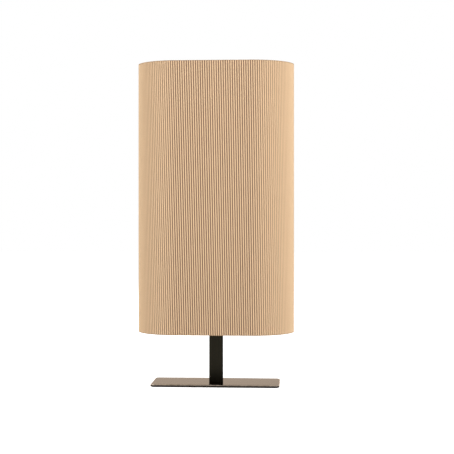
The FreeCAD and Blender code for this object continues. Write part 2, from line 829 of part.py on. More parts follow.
def on_stadium(distance, half_flat, radius):
    """The point and outward normal at a distance along a stadium, from the middle of its back flat."""
    bend = math.pi * radius
    legs = [half_flat, bend, 2 * half_flat, bend, half_flat]
    turned = 0
    for index, leg in enumerate(legs):
        if distance <= leg or index == len(legs) - 1:
            break
        distance -= leg
        turned += 180 if index % 2 else 0
    side = -1 if turned == 180 else 1
    if index % 2:
        angle = math.radians(90 - turned) - distance / radius
        normal = Vector(math.cos(angle), math.sin(angle), 0)
        return Vector(side * half_flat, 0, 0) + normal * radius, normal
    start = -half_flat if index else 0
    normal = Vector(0, side, 0)
    return Vector(side * (start + distance), 0, 0) + normal * radius, normal


def make_pleated_paper():
    """One strip of paper folded to and fro round the stadium. Fold number i lies at an equal share of the
    way round, half the pleat depth outside the middle line when i is even and inside it when i is odd.
    The paper's two faces lie half its thickness, measured square to the folds' flanks, off those folds."""
    half_flat, radius = number("Places.half_flat"), number("Places.pleat_radius")
    rise, depth = number("Places.pleat_rise"), number("Sizes.pleat_depth")
    folds = 2 * int(number("Places.pleat_count"))
    around = 4 * half_flat + 2 * math.pi * radius
    level = number("Sizes.shade_bottom")

    def face(shift):
        points = []
        for index in range(folds):
            spot, normal = on_stadium(around * index / folds, half_flat, radius)
            offset = depth / 2 if index % 2 == 0 else -depth / 2
            points.append(spot + normal * (offset + shift) + Vector(0, 0, level))
        return Part.makePolygon(points + points[:1])

    outer, inner = face(rise), face(-rise)
    section = doc.addObject("Part::Feature", "pleat_section")
    section.Shape = Part.makeFace([outer, inner], "Part::FaceMakerBullseye")
    print(f"pleated_paper: {folds // 2} pleats, strip {outer.Length:.0f} mm long")
    paper = doc.addObject("Part::Extrusion", "pleated_paper")
    paper.Label = "pleated_paper"
    paper.Base = section
    paper.DirMode = "Custom"
    paper.Dir = Vector(0, 0, 1)
    paper.Solid = True
    paper.setExpression("LengthFwd", "Sizes.shade_height")
    return paper


def make_liner():
    body = new_body("liner")
    sketch = new_sketch(body, "XY_Plane", "Sizes.shade_bottom + Sizes.liner_inset")
    stadium_loop(sketch, "Places.half_flat", "Places.liner_radius")
    stadium_loop(sketch, "Places.half_flat", "Places.liner_radius - Sizes.liner_thick")
    pad(body, sketch, "Sizes.shade_height - 2 * Sizes.liner_inset")
    return body


def make_shade_ring_wire(label, level):
    """An oblong ring of round wire at a level: a circle carried round a stadium."""
    body = new_body(label)
    flat, radius = number("Places.half_flat"), number("Places.ring_radius")
    path = new_sketch(body, "XY_Plane", level)
    right_back = line(path, (0, radius), (flat, radius))
    right = arc(path, (flat, 0), radius, -90, 90)
    front = line(path, (flat, -radius), (-flat, -radius))
    left = arc(path, (-flat, 0), radius, 90, 270)
    left_back = line(path, (-flat, radius), (0, radius))
    constrain(path, "Tangent", right_back, END, right, END)
    constrain(path, "Tangent", front, START, right, START)
    constrain(path, "Tangent", front, END, left, END)
    constrain(path, "Tangent", left_back, START, left, START)
    constrain(path, "Coincident", left_back, END, right_back, START)
    constrain(path, "Horizontal", right_back)
    constrain(path, "Horizontal", left_back)
    constrain(path, "PointOnObject", right_back, START, AXIS_UP)
    constrain(path, "PointOnObject", right, CENTRE, AXIS_ACROSS)
    constrain(path, "Symmetric", right, CENTRE, left, CENTRE, ORIGIN, START)
    constrain(path, "Radius", right, by="Places.ring_radius")
    constrain(path, "DistanceX", ORIGIN, START, right, CENTRE, by="Places.half_flat")
    section = new_sketch(body, "YZ_Plane")
    circle_loop(section, "Places.ring_radius", level, "Sizes.wire_radius")
    wire = body.newObject("PartDesign::AdditivePipe", label + "_pipe")
    wire.Profile = section
    wire.Spine = (path, [f"Edge{index + 1}" for index in range(5)])
    body.Tip = wire
    return body


def make_stay(label, side_x, side_y):
    """An upright wire from ring to ring where a flat meets a round end."""
    foot = "Places.bottom_ring_level + Sizes.wire_radius + Sizes.fit_gap"
    return cylinder(
        label, "Sizes.wire_radius",
        f"Places.top_ring_level - Places.bottom_ring_level - 2 * (Sizes.wire_radius + Sizes.fit_gap)",
        x=f"{side_x} * Places.half_flat", y=f"{side_y} * Places.ring_radius", z=foot)


def make_arm(label, side_x, side_y):
    """A level wire from under the fitter's rim to a stay."""
    arm = doc.addObject("Part::Cylinder", label)
    arm.Label = label
    heading = math.degrees(math.atan2(side_y * number("Places.ring_radius"), side_x * number("Places.half_flat")))
    arm.Placement.Rotation = Rotation(Vector(0, 0, 1), heading) * Rotation(Vector(0, 1, 0), 90)
    arm.setExpression("Radius", "Sizes.wire_radius")
    arm.setExpression("Height", "Places.stay_reach - Sizes.wire_radius - Sizes.fit_gap - Places.arm_start")
    share = "Places.arm_start / Places.stay_reach"
    arm.setExpression("Placement.Base.x", f"{side_x} * Places.half_flat * {share}")
    arm.setExpression("Placement.Base.y", f"{side_y} * Places.ring_radius * {share}")
    arm.setExpression("Placement.Base.z", "Places.arm_level")
    return arm


def make_fitter_ring():
    """The pressed ring that sits on the lampholder's shoulder, with its rim turned up."""
    lip = "Sizes.fitter_radius - Sizes.fitter_lip"
    lip_top = "Places.fitter_top + Sizes.fitter_lip"
    return revolved("fitter_ring", [
        ("Sizes.fitter_bore", "Places.fitter_bottom"),
        ("Sizes.fitter_radius", "Places.fitter_bottom"),
        ("Sizes.fitter_radius", lip_top),
        (lip, lip_top),
        (lip, "Places.fitter_top"),
        ("Sizes.fitter_bore", "Places.fitter_top"),
    ])


def make_shade_ring():
    """The ring nut: a flange on the fitter and a ribbed grip above it."""
    bore = "Sizes.skirt_radius + Sizes.collar_thread_gap"
    flange = "Sizes.collar_radius - Sizes.fit_gap"
    top = "Places.collar_bottom + Sizes.collar_height"
    body = revolved("shade_ring", [
        (bore, "Places.collar_bottom"),
        (flange, "Places.collar_bottom"),
        (flange, "Places.collar_bottom + Sizes.collar_flange"),
        ("Sizes.collar_body_radius", "Places.collar_bottom + Sizes.collar_flange"),
        ("Sizes.collar_body_radius", top),
        (bore, top),
    ])
    sketch = new_sketch(body, "XY_Plane", "Places.collar_bottom + Sizes.collar_flange")
    circle_loop(sketch, "Sizes.collar_body_radius", "0", "Sizes.collar_rib_radius")
    rib = pad(body, sketch, "Sizes.collar_height - Sizes.collar_flange - Sizes.collar_rib_radius")
    pattern = body.newObject("PartDesign::PolarPattern", "shade_ring_ribs")
    pattern.Originals = [rib]
    pattern.Axis = (plane(body, "Z_Axis"), [""])
    pattern.Angle = 360
    pattern.Occurrences = int(number("Sizes.collar_ribs"))
    body.Tip = pattern
    return body


# ---------------------------------------------------------------- assembly

for make in (
    make_foot_pad, make_base_plate, make_base_screws, make_foot_block, make_post_tube,
    make_cable_bush, make_inner_lead, make_post_cap, make_nipple, make_nipple_washer,
    make_nipple_nut, make_lampholder_cap, make_grub_screw, make_lampholder_insert,
    make_terminal_screws, make_lampholder_skirt, make_centre_contact, make_side_contact,
    make_bulb_glass, make_bulb_cap, make_bulb_insulator, make_bulb_contact, make_bulb_stem,
    make_pleated_paper, make_liner, make_fitter_ring, make_shade_ring,
):
    keep(make())

keep(make_core("live_core", -1))
keep(make_core("neutral_core", 1))
keep(make_shade_ring_wire("bottom_ring", "Places.bottom_ring_level"))
keep(make_shade_ring_wire("top_ring", "Places.top_ring_level"))
for end, side_x in (("left", -1), ("right", 1)):
    for face, side_y in (("front", -1), ("rear", 1)):
        keep(make_stay(f"stay_{face}_{end}", side_x, side_y))
        keep(make_arm(f"arm_{face}_{end}", side_x, side_y))

doc.recompute()
for item in doc.Objects:
    if "Invalid" in item.State or "Error" in item.State:
        raise RuntimeError(f"{item.Label} failed: {item.State}")
for node in nodes:
    if node.Shape.isNull() or not node.Shape.isValid():
        raise RuntimeError(f"{node.Label} has no valid shape")

os.makedirs("parts", exist_ok=True)
for node in nodes:
    node.Shape.exportStep(f"parts/{node.Label}.step")
print(f"{len(nodes)} nodes written")
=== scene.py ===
from contextlib import contextmanager
import math

import bmesh
import bpy
import numpy as np
from bpy.props import FloatProperty, FloatVectorProperty, IntProperty, PointerProperty
from mathutils import Matrix, Vector


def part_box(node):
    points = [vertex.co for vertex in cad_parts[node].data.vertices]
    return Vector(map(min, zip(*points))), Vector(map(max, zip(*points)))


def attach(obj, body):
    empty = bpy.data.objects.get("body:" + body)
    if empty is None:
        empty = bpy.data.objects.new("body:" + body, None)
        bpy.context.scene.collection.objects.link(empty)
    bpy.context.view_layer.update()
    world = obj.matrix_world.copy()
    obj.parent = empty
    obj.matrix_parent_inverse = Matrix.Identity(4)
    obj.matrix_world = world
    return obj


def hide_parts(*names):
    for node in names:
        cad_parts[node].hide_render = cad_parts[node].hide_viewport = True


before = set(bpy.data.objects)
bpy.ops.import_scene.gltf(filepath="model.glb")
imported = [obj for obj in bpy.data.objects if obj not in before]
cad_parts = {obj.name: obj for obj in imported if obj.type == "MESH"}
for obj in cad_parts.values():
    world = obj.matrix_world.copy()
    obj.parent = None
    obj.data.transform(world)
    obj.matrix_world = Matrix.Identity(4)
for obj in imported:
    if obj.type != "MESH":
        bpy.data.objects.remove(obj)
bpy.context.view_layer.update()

# Pleated paper table lamp, in metres, Z up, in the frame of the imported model.
# The origin is on the table under the middle of the post, and the lamp faces -Y.

bl_info = {
    "name": "Pleated paper table lamp",
    "version": (1, 0, 0),
    "blender": (4, 5, 0),
    "location": "3D View > Sidebar > Lamp",
    "description": "Adds the surfaces and finishes of a table lamp with a pleated paper shade",
    "category": "Add Mesh",
}

SAME_POINT = 1e-7  # points nearer than this are one
PLAY = 0.00005  # left between two pieces that only just don't touch


def low(node):
    """A node's lowest corner at rest."""
    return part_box(node)[0]


def high(node):
    """A node's highest corner at rest."""
    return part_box(node)[1]


# ------------------------------------------------------ sizes and colours a user would change

def length(name, description, default):
    return FloatProperty(
        name=name, description=description, default=default,
        subtype="DISTANCE", unit="LENGTH", precision=5)


def colour(name, description, default):
    return FloatVectorProperty(
        name=name, description=description, default=default,
        subtype="COLOR", size=3, min=0, max=1)


def power(name, description, default):
    return FloatProperty(name=name, description=description, default=default, min=0, unit="POWER")


class ShadeSettings(bpy.types.PropertyGroup):
    pleats: IntProperty(
        name="Pleats", description="Pleats all the way round the shade", default=184, min=12)
    pleat_depth: length("Pleat depth", "From the outer folds to the inner folds", 0.0018)
    paper: length("Paper", "Thickness of the pleated paper", 0.00025)
    lean: length("Lean", "How far a fold drifts sideways from the shade's foot to its top", -0.0108)
    fan: length("Fan", "How far the flats' folds spread from the shade's foot to its top", 0.0026)
    drift: length("Drift", "How far a single fold strays from its even place", 0.00006)
    paper_colour: colour("Paper colour", "Colour of the pleated paper", (0.74, 0.525, 0.325))
    edge_colour: colour("Cut edge", "Colour of the paper's cut edges", (0.30, 0.19, 0.11))
    liner_colour: colour("Liner", "Colour of the sheet behind the pleats", (0.80, 0.74, 0.64))
    wire_colour: colour("Frame", "Colour of the wire frame's lacquer", (0.80, 0.79, 0.76))
    weld: length("Weld bead", "Radius of the bead where two wires meet", 0.0019)


class StandSettings(bpy.types.PropertyGroup):
    bevel: length("Bevel", "Width of the softened edge round the plate's top", 0.0012)
    lacquer: colour(
        "Lacquer", "Reflection of the plate's lacquer seen from straight above",
        (0.020, 0.016, 0.013))
    sheen: colour("Low sheen", "Tint of the plate's lacquer at a low angle", (0.83, 0.67, 0.535))
    # Colour of the painted highlight along the plate's bevel: lighter metal where the lacquer is
    # thin
    edge_highlight_and_wear: colour("Worn edge", "Colour where the lacquer is thin along the edge", (0.66, 0.56, 0.47))
    post_colour: colour("Post", "Colour of the post's satin lacquer", (0.0150, 0.0135, 0.0095))
    post_sheen: colour(
        "Post sheen", "Tint of the post's lacquer at a low angle", (0.10, 0.09, 0.07))


class LightSettings(bpy.types.PropertyGroup):
    glass: colour("Bulb glass", "Colour of the opal glass", (0.76, 0.75, 0.72))
    thread_pitch: length("Bulb thread", "Rise of one turn of the bulb's thread", 0.0036)
    collar_pitch: length("Collar thread", "Rise of one turn of the lampholder's thread", 0.0025)
    ribs: IntProperty(name="Grip ribs", description="Ribs round the ring nut", default=24, min=6)


class StudioSettings(bpy.types.PropertyGroup):
    place: FloatVectorProperty(
        name="Camera", description="Where the camera stands", default=(0.149, -2.132, 0.328),
        subtype="TRANSLATION", size=3)
    heading: FloatProperty(
        name="Heading", description="Turn of the camera about the vertical", default=0.06044,
        subtype="ANGLE", unit="ROTATION", precision=5)
    lens: FloatProperty(
        name="Lens", description="Focal length on a 36 mm sensor", default=92.14, min=10,
        precision=3)
    rise: FloatProperty(
        name="Rise", description="How far the view is shifted up, as a share of its width",
        default=-0.0470, precision=5)
    key: power("Right panel", "Power of the soft panel at the right", 28.0)
    second: power("Left panel", "Power of the soft panel at the left", 19.0)
    back: power("Rear panel", "Power of the soft panel behind the lamp", 26.0)
    fill: FloatProperty(
        name="Room light", description="Strength of the light from all round", default=0.33, min=0)
    floor: colour("Floor", "Colour of the floor", (0.90, 0.90, 0.90))
    lift: FloatProperty(
        name="Floor glow", description="White added to the floor for the camera, metal and glass",
        default=0.72, min=0, max=1)


# ------------------------------------------------------ surfaces

def round_angles(steps):
    """Even angles round a full turn."""
    return np.arange(steps) * 2 * math.pi / steps


def ramp(values, start, end):
    """0 up to the start, 1 from the end on and straight between. The end may be the lower one."""
    return np.clip((values - start) / (end - start), 0, 1)


def rounded_path(half_x, half_y, corner, steps, flats=1):
    """Centres and outward normals round a rectangle with round corners, anticlockwise from its
    right side. Between neighbouring knots the normal's angle and the centre that it turns about are
    both linear in the distance gone: on a flat the centre moves, in a corner the angle turns a
    quarter. Each corner gets steps samples and each flat gets flats samples. Where the corners take
    up the whole of the right and left sides, those two flats have no length."""
    flat, quarter = 1, 2
    gaps = 4 * [flat, quarter] if half_y > corner else 2 * [0, quarter, flat, quarter]
    knots = np.cumsum([0] + gaps)
    counts = [{0: 0, flat: flats, quarter: steps}[gap] for gap in gaps]
    spots = np.concatenate([
        np.linspace(start, end, count, endpoint=False)
        for start, end, count in zip(knots[:-1], knots[1:], counts)
    ])
    return path_at(spots, knots, half_x - corner, half_y - corner)


def path_at(spots, knots, flat_x, flat_y):
    """Centres and normals at distances along a path whose knots are given, as rounded_path says."""
    angle = np.interp(spots, knots, np.array([0, 0, 1, 1, 2, 2, 3, 3, 4]) * math.pi / 2)
    centres = np.stack([
        np.interp(spots, knots, np.array([1, 1, 1, -1, -1, -1, -1, 1, 1]) * flat_x),
        np.interp(spots, knots, np.array([-1, 1, 1, 1, 1, -1, -1, -1, -1]) * flat_y),
    ], axis=-1)
    return centres, np.stack([np.cos(angle), np.sin(angle)], axis=-1)


def circle_path(steps):
    """Centres, all at the axis, and normals evenly round a circle."""
    angle = round_angles(steps)
    return np.zeros((steps, 2)), np.stack([np.cos(angle), np.sin(angle)], axis=-1)


def per_column(profile, columns):
    """A profile repeated for every column, so that it may differ round its path."""
    return np.repeat(np.asarray(profile, float)[:, None, :], columns, axis=1)


def carried(path, profile):
    """A profile of distances and heights carried round a path: each point is the path's centre plus
    its normal times the distance, raised by the height."""
    centres, normals = path
    if np.ndim(profile) == 2:
        profile = per_column(profile, len(centres))
    flat = centres[None] + normals[None] * profile[..., :1]
    return np.concatenate([flat, profile[..., 1:]], axis=-1)


def rounded(points, radius, steps=3, closed=True):
    """A profile with its corners rounded: each corner becomes a curve whose points are the corner's
    two tangent points and the corner itself, weighted (1 - t) squared, t squared and 2 t (1 - t). A
    tangent point is the radius away, but no further than 0.45 of the way to the next corner."""
    points = np.asarray(points, float)
    reach = np.broadcast_to(np.asarray(radius, float), len(points))

    def toward(other):
        gap = other - points
        span = np.maximum(np.linalg.norm(gap, axis=1), 1e-12)
        return points + gap * (np.minimum(reach, span * 0.45) / span)[:, None]

    before, after = toward(np.roll(points, 1, axis=0)), toward(np.roll(points, -1, axis=0))
    share = np.linspace(0, 1, steps)[None, :, None]
    curve = before[:, None] * (1 - share) ** 2 + after[:, None] * share ** 2
    curve = curve + points[:, None] * 2 * share * (1 - share)
    if not closed:
        curve[0], curve[-1] = points[0], points[-1]
    return curve.reshape(-1, 2)


def upright(distance, start, end, count):
    """Points of a profile at one distance, their heights even from the start to the end."""
    return np.stack([np.full(count, distance), np.linspace(start, end, count)], axis=-1)


def tube(points, radii, side, steps=14):
    """A round tube along a flat curve. At each point the ring is the point plus its radius times
    (cosine of the angle times the side direction plus sine times the tangent crossed with it), the
    side being square to the curve's plane."""
    tangent = np.gradient(points, axis=0)
    tangent /= np.linalg.norm(tangent, axis=1)[:, None]
    side = np.asarray(side, float)
    other = np.cross(tangent, side)
    angle = round_angles(steps)[None, :, None]
    ring = np.cos(angle) * side + np.sin(angle) * other[:, None]
    return points[:, None] + ring * radii[:, None, None]


def surface(name, grid, closed=False, marks=None, angle=35):
    """A mesh from a grid of points, rows along the profile and columns round the path. Neighbouring
    points make a four-sided face, columns always join up, rows join up when the profile is closed,
    and an open profile's first and last rows are closed by a face, or by their merging where they
    are one point. The UV map holds the distance along the columns and the rows in metres."""
    rows, columns = grid.shape[:2]
    index = np.arange(rows * columns).reshape(rows, columns)
    below, above = (index, np.roll(index, -1, axis=0)) if closed else (index[:-1], index[1:])
    loop = [below, np.roll(below, -1, axis=1), np.roll(above, -1, axis=1), above]
    quads = np.stack(loop, axis=-1).reshape(-1, 4)
    ends = [] if closed else [(grid[0], index[0, ::-1]), (grid[-1], index[-1])]
    lids = [ring.tolist() for row, ring in ends if np.ptp(row, axis=0).max() > SAME_POINT]
    points = grid.reshape(-1, 3)
    mesh = bpy.data.meshes.new(name)
    mesh.from_pydata(points, [], quads.tolist() + lids)

    wide = np.linalg.norm(np.roll(grid, -1, axis=1) - grid, axis=-1).mean(axis=0)
    tall = np.linalg.norm(np.roll(grid, -1, axis=0) - grid, axis=-1).mean(axis=1)
    u, v = (np.concatenate([[0], np.cumsum(steps)]) for steps in (wide, tall))
    row, column = np.indices(below.shape)
    corners = np.stack([
        np.stack([u[column + right], v[row + up]], axis=-1)
        for right, up in ((0, 0), (1, 0), (1, 1), (0, 1))
    ], axis=2).reshape(-1, 2)
    flat = [points[lid][:, :2] for lid in lids]
    mesh.uv_layers.new(name="UVMap").uv.foreach_set(
        "vector", np.concatenate([corners] + flat).astype(np.float32).ravel())
    for mark, values in (marks or {}).items():
        mesh.attributes.new(mark, "FLOAT", "POINT").data.foreach_set(
            "value", np.asarray(values, np.float32).ravel())
    with edited(mesh) as work:
        bmesh.ops.remove_doubles(work, verts=work.verts, dist=SAME_POINT)
    smooth(mesh, angle)
    mesh.validate()
    return mesh


def turned(name, section, steps, angle=35):
    """A closed section carried round the axis."""
    return surface(name, carried(circle_path(steps), section), closed=True, angle=angle)


def smooth(mesh, angle=35):
    """Shades a mesh smooth, but for the edges that turn by more than an angle in degrees."""
    mesh.shade_smooth()
    mesh.set_sharp_from_angle(angle=math.radians(angle))


@contextmanager
def edited(mesh):
    """A mesh opened for bmesh's tools, and written back when they are done."""
    work = bmesh.new()
    work.from_mesh(mesh)
    yield work
    work.to_mesh(mesh)
    work.free()


def combined(name, meshes):
    """One mesh from several, which go."""
    work = bmesh.new()
    for mesh in meshes:
        work.from_mesh(mesh)
        bpy.data.meshes.remove(mesh)
    whole = bpy.data.meshes.new(name)
    work.to_mesh(whole)
    work.free()
    return whole


def placed(name, data):
    """Puts a mesh, a light or a camera in the scene."""
    thing = bpy.data.objects.new(name, data)
    bpy.context.scene.collection.objects.link(thing)
    return thing


def add_piece(mesh, finish, body, node):
    """Puts a mesh in the scene with its finish, riding on a body in place of a node."""
    piece = placed(mesh.name, mesh)
    mesh.materials.append(finish)
    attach(piece, body)
    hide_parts(node)
    return piece


def dress(finish, *nodes):
    """Gives CAD nodes that stay in sight a finish."""
    for node in nodes:
        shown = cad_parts[node]
        if not shown.material_slots:
            shown.data.materials.append(finish)
        for place in shown.material_slots:
            place.material = finish


# ------------------------------------------------------ finishes

class Value:
    """A number worked out by nodes, on which + - and * add Math nodes."""

    def __init__(self, nodes, socket):
        self.nodes, self.socket = nodes, socket

    def maths(self, operation, first, second):
        return self.nodes.node("ShaderNodeMath", {"operation": operation}, {0: first, 1: second})

    def __add__(self, other):
        return self.maths("ADD", self, other)

    def __mul__(self, other):
        return self.maths("MULTIPLY", self, other)

    def __sub__(self, other):
        return self.maths("SUBTRACT", self, other)

    def __rsub__(self, other):
        return self.maths("SUBTRACT", other, self)

    __radd__, __rmul__ = __add__, __mul__

    def or_more(self, other):
        """The greater of the two."""
        return self.maths("MAXIMUM", self, other)

    def between(self, start, end):
        """0 below start, 1 above end and smooth in between."""
        return self.nodes.node(
            "ShaderNodeMapRange", {"interpolation_type": "SMOOTHSTEP"},
            {"Value": self, "From Min": start, "From Max": end})


class Nodes:
    """A node tree, emptied and filled through one method."""

    def __init__(self, owner):
        owner.use_nodes = True
        self.tree = owner.node_tree
        self.tree.nodes.clear()

    def node(self, kind, settings=None, values=None, output=0):
        """Adds a node: its settings first, then its sockets' values or links. Gives one output."""
        made = self.tree.nodes.new(kind)
        for setting, value in (settings or {}).items():
            setattr(made, setting, value)
        for name, value in (values or {}).items():
            socket = made.inputs[name]
            if isinstance(value, Value):
                self.tree.links.new(value.socket, socket)
            else:
                plain = socket.type == "RGBA" and len(value) == 3
                socket.default_value = (*value, 1) if plain else value
        return Value(self, made.outputs[output]) if made.outputs else None

    def seen(self):
        """1 for what the camera, metal and glass see, and 0 for what lights the lamp."""
        camera, metal, glass = (
            self.node("ShaderNodeLightPath", output=f"Is {kind} Ray")
            for kind in ("Camera", "Glossy", "Transmission"))
        return camera.or_more(metal).or_more(glass)


class Finish(Nodes):
    """One material: a Principled shader and what feeds it. Its noises' scales are in patches a
    metre, and its bumps' distances in metres."""

    def __init__(self, name):
        self.material = bpy.data.materials.new(name)
        super().__init__(self.material)
        self.place = self.node("ShaderNodeTexCoord", output="Object")

    def along(self, axis):
        """The object coordinate along X, Y or Z."""
        return self.node("ShaderNodeSeparateXYZ", None, {"Vector": self.place}, axis)

    def mark(self, name):
        """A value stored on the piece's points."""
        return self.node("ShaderNodeAttribute", {"attribute_name": name}, output="Fac")

    def stretched(self, x, y, z):
        """The object coordinates with each axis scaled by its own number."""
        return self.node("ShaderNodeMapping", None, {"Vector": self.place, "Scale": (x, y, z)})

    def noise(self, scale, detail=2.0, roughness=0.5, place=None):
        """Cloudy noise from 0 to 1."""
        return self.node("ShaderNodeTexNoise", None, {
            "Vector": place or self.place, "Scale": scale, "Detail": detail,
            "Roughness": roughness})

    def mix(self, share, first, second):
        """A colour between two colours."""
        return self.node("ShaderNodeMix", {"data_type": "RGBA"}, {0: share, 6: first, 7: second}, 2)

    def shades(self, share, tone, first, second):
        """A colour between two shades of one tone."""
        return self.mix(share, shade_of(tone, first), shade_of(tone, second))

    def bump(self, height, strength, distance):
        return self.node("ShaderNodeBump", None, {
            "Height": height, "Strength": strength, "Distance": distance}, "Normal")

    def done(self, **sockets):
        """Closes the material with its Principled shader. A socket's name has _ for a space."""
        values = {name.replace("_", " "): value for name, value in sockets.items()}
        return self.closed(self.node("ShaderNodeBsdfPrincipled", None, values))

    def closed(self, shader):
        """Leads a shader to the material's output."""
        self.node("ShaderNodeOutputMaterial", None, {"Surface": shader})
        return self.material


def shade_of(tone, factor):
    """A tone made lighter or darker."""
    return tuple(min(1.0, part * factor) for part in tone)


def pleated_paper_finish(settings):
    """Uncoated paper: fibres drawn out along the folds, a faint cloudiness, a painted highlight on
    the folds' ridges and painted shade in their valleys, less of it round the ends, and a brown
    band along the cut edges. The marks go from -1 in a valley to 1 on a ridge, by the distance to a
    cut edge, and from 0 on the flats to 1 at the ends."""
    finish = Finish("pleated_paper")
    fold, edge, spread = (finish.mark(name) for name in ("fold", "edge", "spread"))
    cloud, speck = finish.noise(38, 3, 0.55), finish.noise(2600, 1)
    fibre = finish.noise(900, 3, 0.6, finish.stretched(1, 1, 0.35))
    tone = settings.paper_colour
    # Painted shade in the valleys: valley is its colour and shadow its share, less round the ends
    valley = (tone[0] * 0.24, tone[1] * 0.19, tone[2] * 0.20)
    shadow = (1 - fold.between(-0.80, 0.75)) * (1 - spread * 0.72) * 0.98
    paint = finish.shades(cloud, tone, 0.97, 1.03)
    paint = finish.mix(fibre * 0.5 + 0.25, shade_of(tone, 0.94), paint)
    paint = finish.mix(speck.between(0.70, 0.82) * 0.35, paint, shade_of(tone, 0.72))
    paint = finish.mix(shadow, paint, valley)
    # Painted highlight along the ridges of the folds
    paint = finish.mix(fold.between(0.70, 0.98) * 0.45, paint, shade_of(tone, 1.14))
    paint = finish.mix((1 - edge.between(0.0006, 0.0021)) * 0.62, paint, settings.edge_colour)
    return finish.done(
        Base_Color=paint, Roughness=0.78 + fibre * 0.12,
        Normal=finish.bump(fibre * 0.7 + speck * 0.3, 0.35, 0.0002),
        Specular_IOR_Level=0.3, Sheen_Weight=0.18, Sheen_Roughness=0.4)


def liner_finish(settings):
    """Smooth styrene sheet with faint rolling marks, and a warm tint painted in for the light
    through the paper behind it.
    """
    finish = Finish("liner_sheet")
    roll = finish.noise(26, place=finish.stretched(1, 1, 0.12))
    # The liner's colour holds a painted warm tint for light through the paper
    return finish.done(
        Base_Color=finish.shades(roll, settings.liner_colour, 0.95, 1.04),
        Roughness=0.42 + roll * 0.14, Normal=finish.bump(finish.noise(1400), 0.12, 0.0001))


def white_lacquer_finish(settings):
    """Powder-coated wire: a fine orange peel and faint grey clouds."""
    finish = Finish("white_frame_lacquer")
    peel = finish.noise(1500)
    return finish.done(
        Base_Color=finish.shades(finish.noise(45), settings.wire_colour, 1, 0.93),
        Roughness=0.34 + peel * 0.16, Normal=finish.bump(peel, 0.25, 0.0001))


def plate_lacquer_finish(settings):
    """Gloss black lacquer, dark seen from above and warm at a low angle, with a very fine orange
    peel, faint dust, and a painted highlight along the bevel, where the edge mark is 1, as patches
    of lighter metal where the lacquer is worn thin."""
    finish = Finish("plate_gloss_lacquer")
    haze = finish.noise(14, 3, 0.6)
    dust = finish.noise(3200, 1).between(0.74, 0.80)
    # Painted highlight along the bevel, in patches, where the lacquer is worn thin
    edge_patches = finish.noise(160, 3, 0.6).between(0.25, 0.75)
    edge_highlight_and_wear = finish.mark("edge") * (0.55 + edge_patches * 0.45)
    paint = finish.mix(edge_highlight_and_wear, settings.lacquer, settings.edge_highlight_and_wear)
    return finish.done(
        Base_Color=finish.mix(dust * 0.05, paint, (0.4, 0.36, 0.3)),
        Metallic=1.0, Specular_Tint=settings.sheen,
        Roughness=0.10 + haze * 0.07 + dust * 0.2 + edge_highlight_and_wear * 0.12,
        Normal=finish.bump(finish.noise(420), 0.035, 0.0003))


def post_lacquer_finish(settings):
    """Satin black lacquer with a fine grain and haze, and painted shade in patches at its corners,
    where the edge mark is 1."""
    finish = Finish("post_satin_lacquer")
    peel, haze = finish.noise(1900), finish.noise(30, 3, 0.55)
    # Painted shade in patches at the post's corners
    corner_shade = finish.mark("edge") * finish.noise(40).between(0.25, 0.75)
    paint = finish.shades(haze, settings.post_colour, 1, 1.25)
    return finish.done(
        Base_Color=finish.mix(corner_shade * 0.25, paint, (0.004, 0.004, 0.003)),
        Metallic=1.0, Specular_Tint=settings.post_sheen,
        Roughness=0.40 + haze * 0.10 + peel * 0.06, Normal=finish.bump(peel, 0.08, 0.0001))


def foam_finish():
    """Closed-cell foam: a skin of small round cells."""
    finish = Finish("foam_sheet")
    cells = finish.node(
        "ShaderNodeTexVoronoi", None, {"Vector": finish.place, "Scale": 1400.0}, "Distance")
    return finish.done(
        Base_Color=finish.mix(cells, (0.012, 0.012, 0.012), (0.05, 0.05, 0.05)),
        Roughness=0.92, Normal=finish.bump(cells, 0.5, 0.0004))


def metal_finish(name, tone, roughness, streak):
    """Plated or drawn metal: fine tool marks round the piece, and cloudy patches."""
    finish = Finish(name)
    marks = finish.noise(1600, place=finish.stretched(0.12, 0.12, 1.6))
    cloud = finish.noise(150, 3, 0.6)
    return finish.done(
        Base_Color=finish.shades(cloud, tone, 0.86, 1.06), Metallic=1.0,
        Roughness=roughness + cloud * 0.10 + marks * streak,
        Normal=finish.bump(marks, 0.15, 0.00006))


def moulded_finish(name, tone, roughness, texture=1500):
    """Moulded plastic: a fine spark-eroded texture with slightly uneven gloss."""
    finish = Finish(name)
    grain, cloud = finish.noise(texture), finish.noise(60)
    return finish.done(
        Base_Color=finish.shades(cloud, tone, 1, 1.25),
        Roughness=roughness + cloud * 0.08 + grain * 0.06, Normal=finish.bump(grain, 0.22, 0.0001),
        Specular_IOR_Level=0.3)


def ceramic_finish():
    """Unglazed steatite with tiny dark inclusions."""
    finish = Finish("steatite")
    speck, cloud = finish.noise(1900, 1).between(0.68, 0.78), finish.noise(240, 3, 0.6)
    white = finish.mix(cloud, (0.72, 0.69, 0.62), (0.82, 0.80, 0.75))
    return finish.done(
        Base_Color=finish.mix(speck * 0.4, white, (0.35, 0.30, 0.24)),
        Roughness=0.5 + cloud * 0.2, Normal=finish.bump(cloud, 0.2, 0.0002))


def opal_glass_finish(settings):
    """Opal glass: a glossy skin over a milky body, a little cloudier towards the neck."""
    finish = Finish("opal_glass")
    neck_low, neck_high = 0.300, 0.325
    cloud = finish.noise(55)
    neck = 1 - finish.along("Z").between(neck_low, neck_high)
    return finish.done(
        Base_Color=finish.shades(cloud * 0.5 + neck * 0.5, settings.glass, 1, 0.90),
        Roughness=0.12 + cloud * 0.05, Coat_Weight=0.4, Coat_Roughness=0.05)


def black_glass_finish():
    """The black glass insulator of a lamp cap, glossy with small flow lines."""
    finish = Finish("black_cap_glass")
    flow = finish.noise(500, 3, 0.6)
    return finish.done(
        Base_Color=finish.mix(flow, (0.010, 0.008, 0.012), (0.03, 0.025, 0.035)),
        Roughness=0.12 + flow * 0.15, Normal=finish.bump(flow, 0.15, 0.0002))


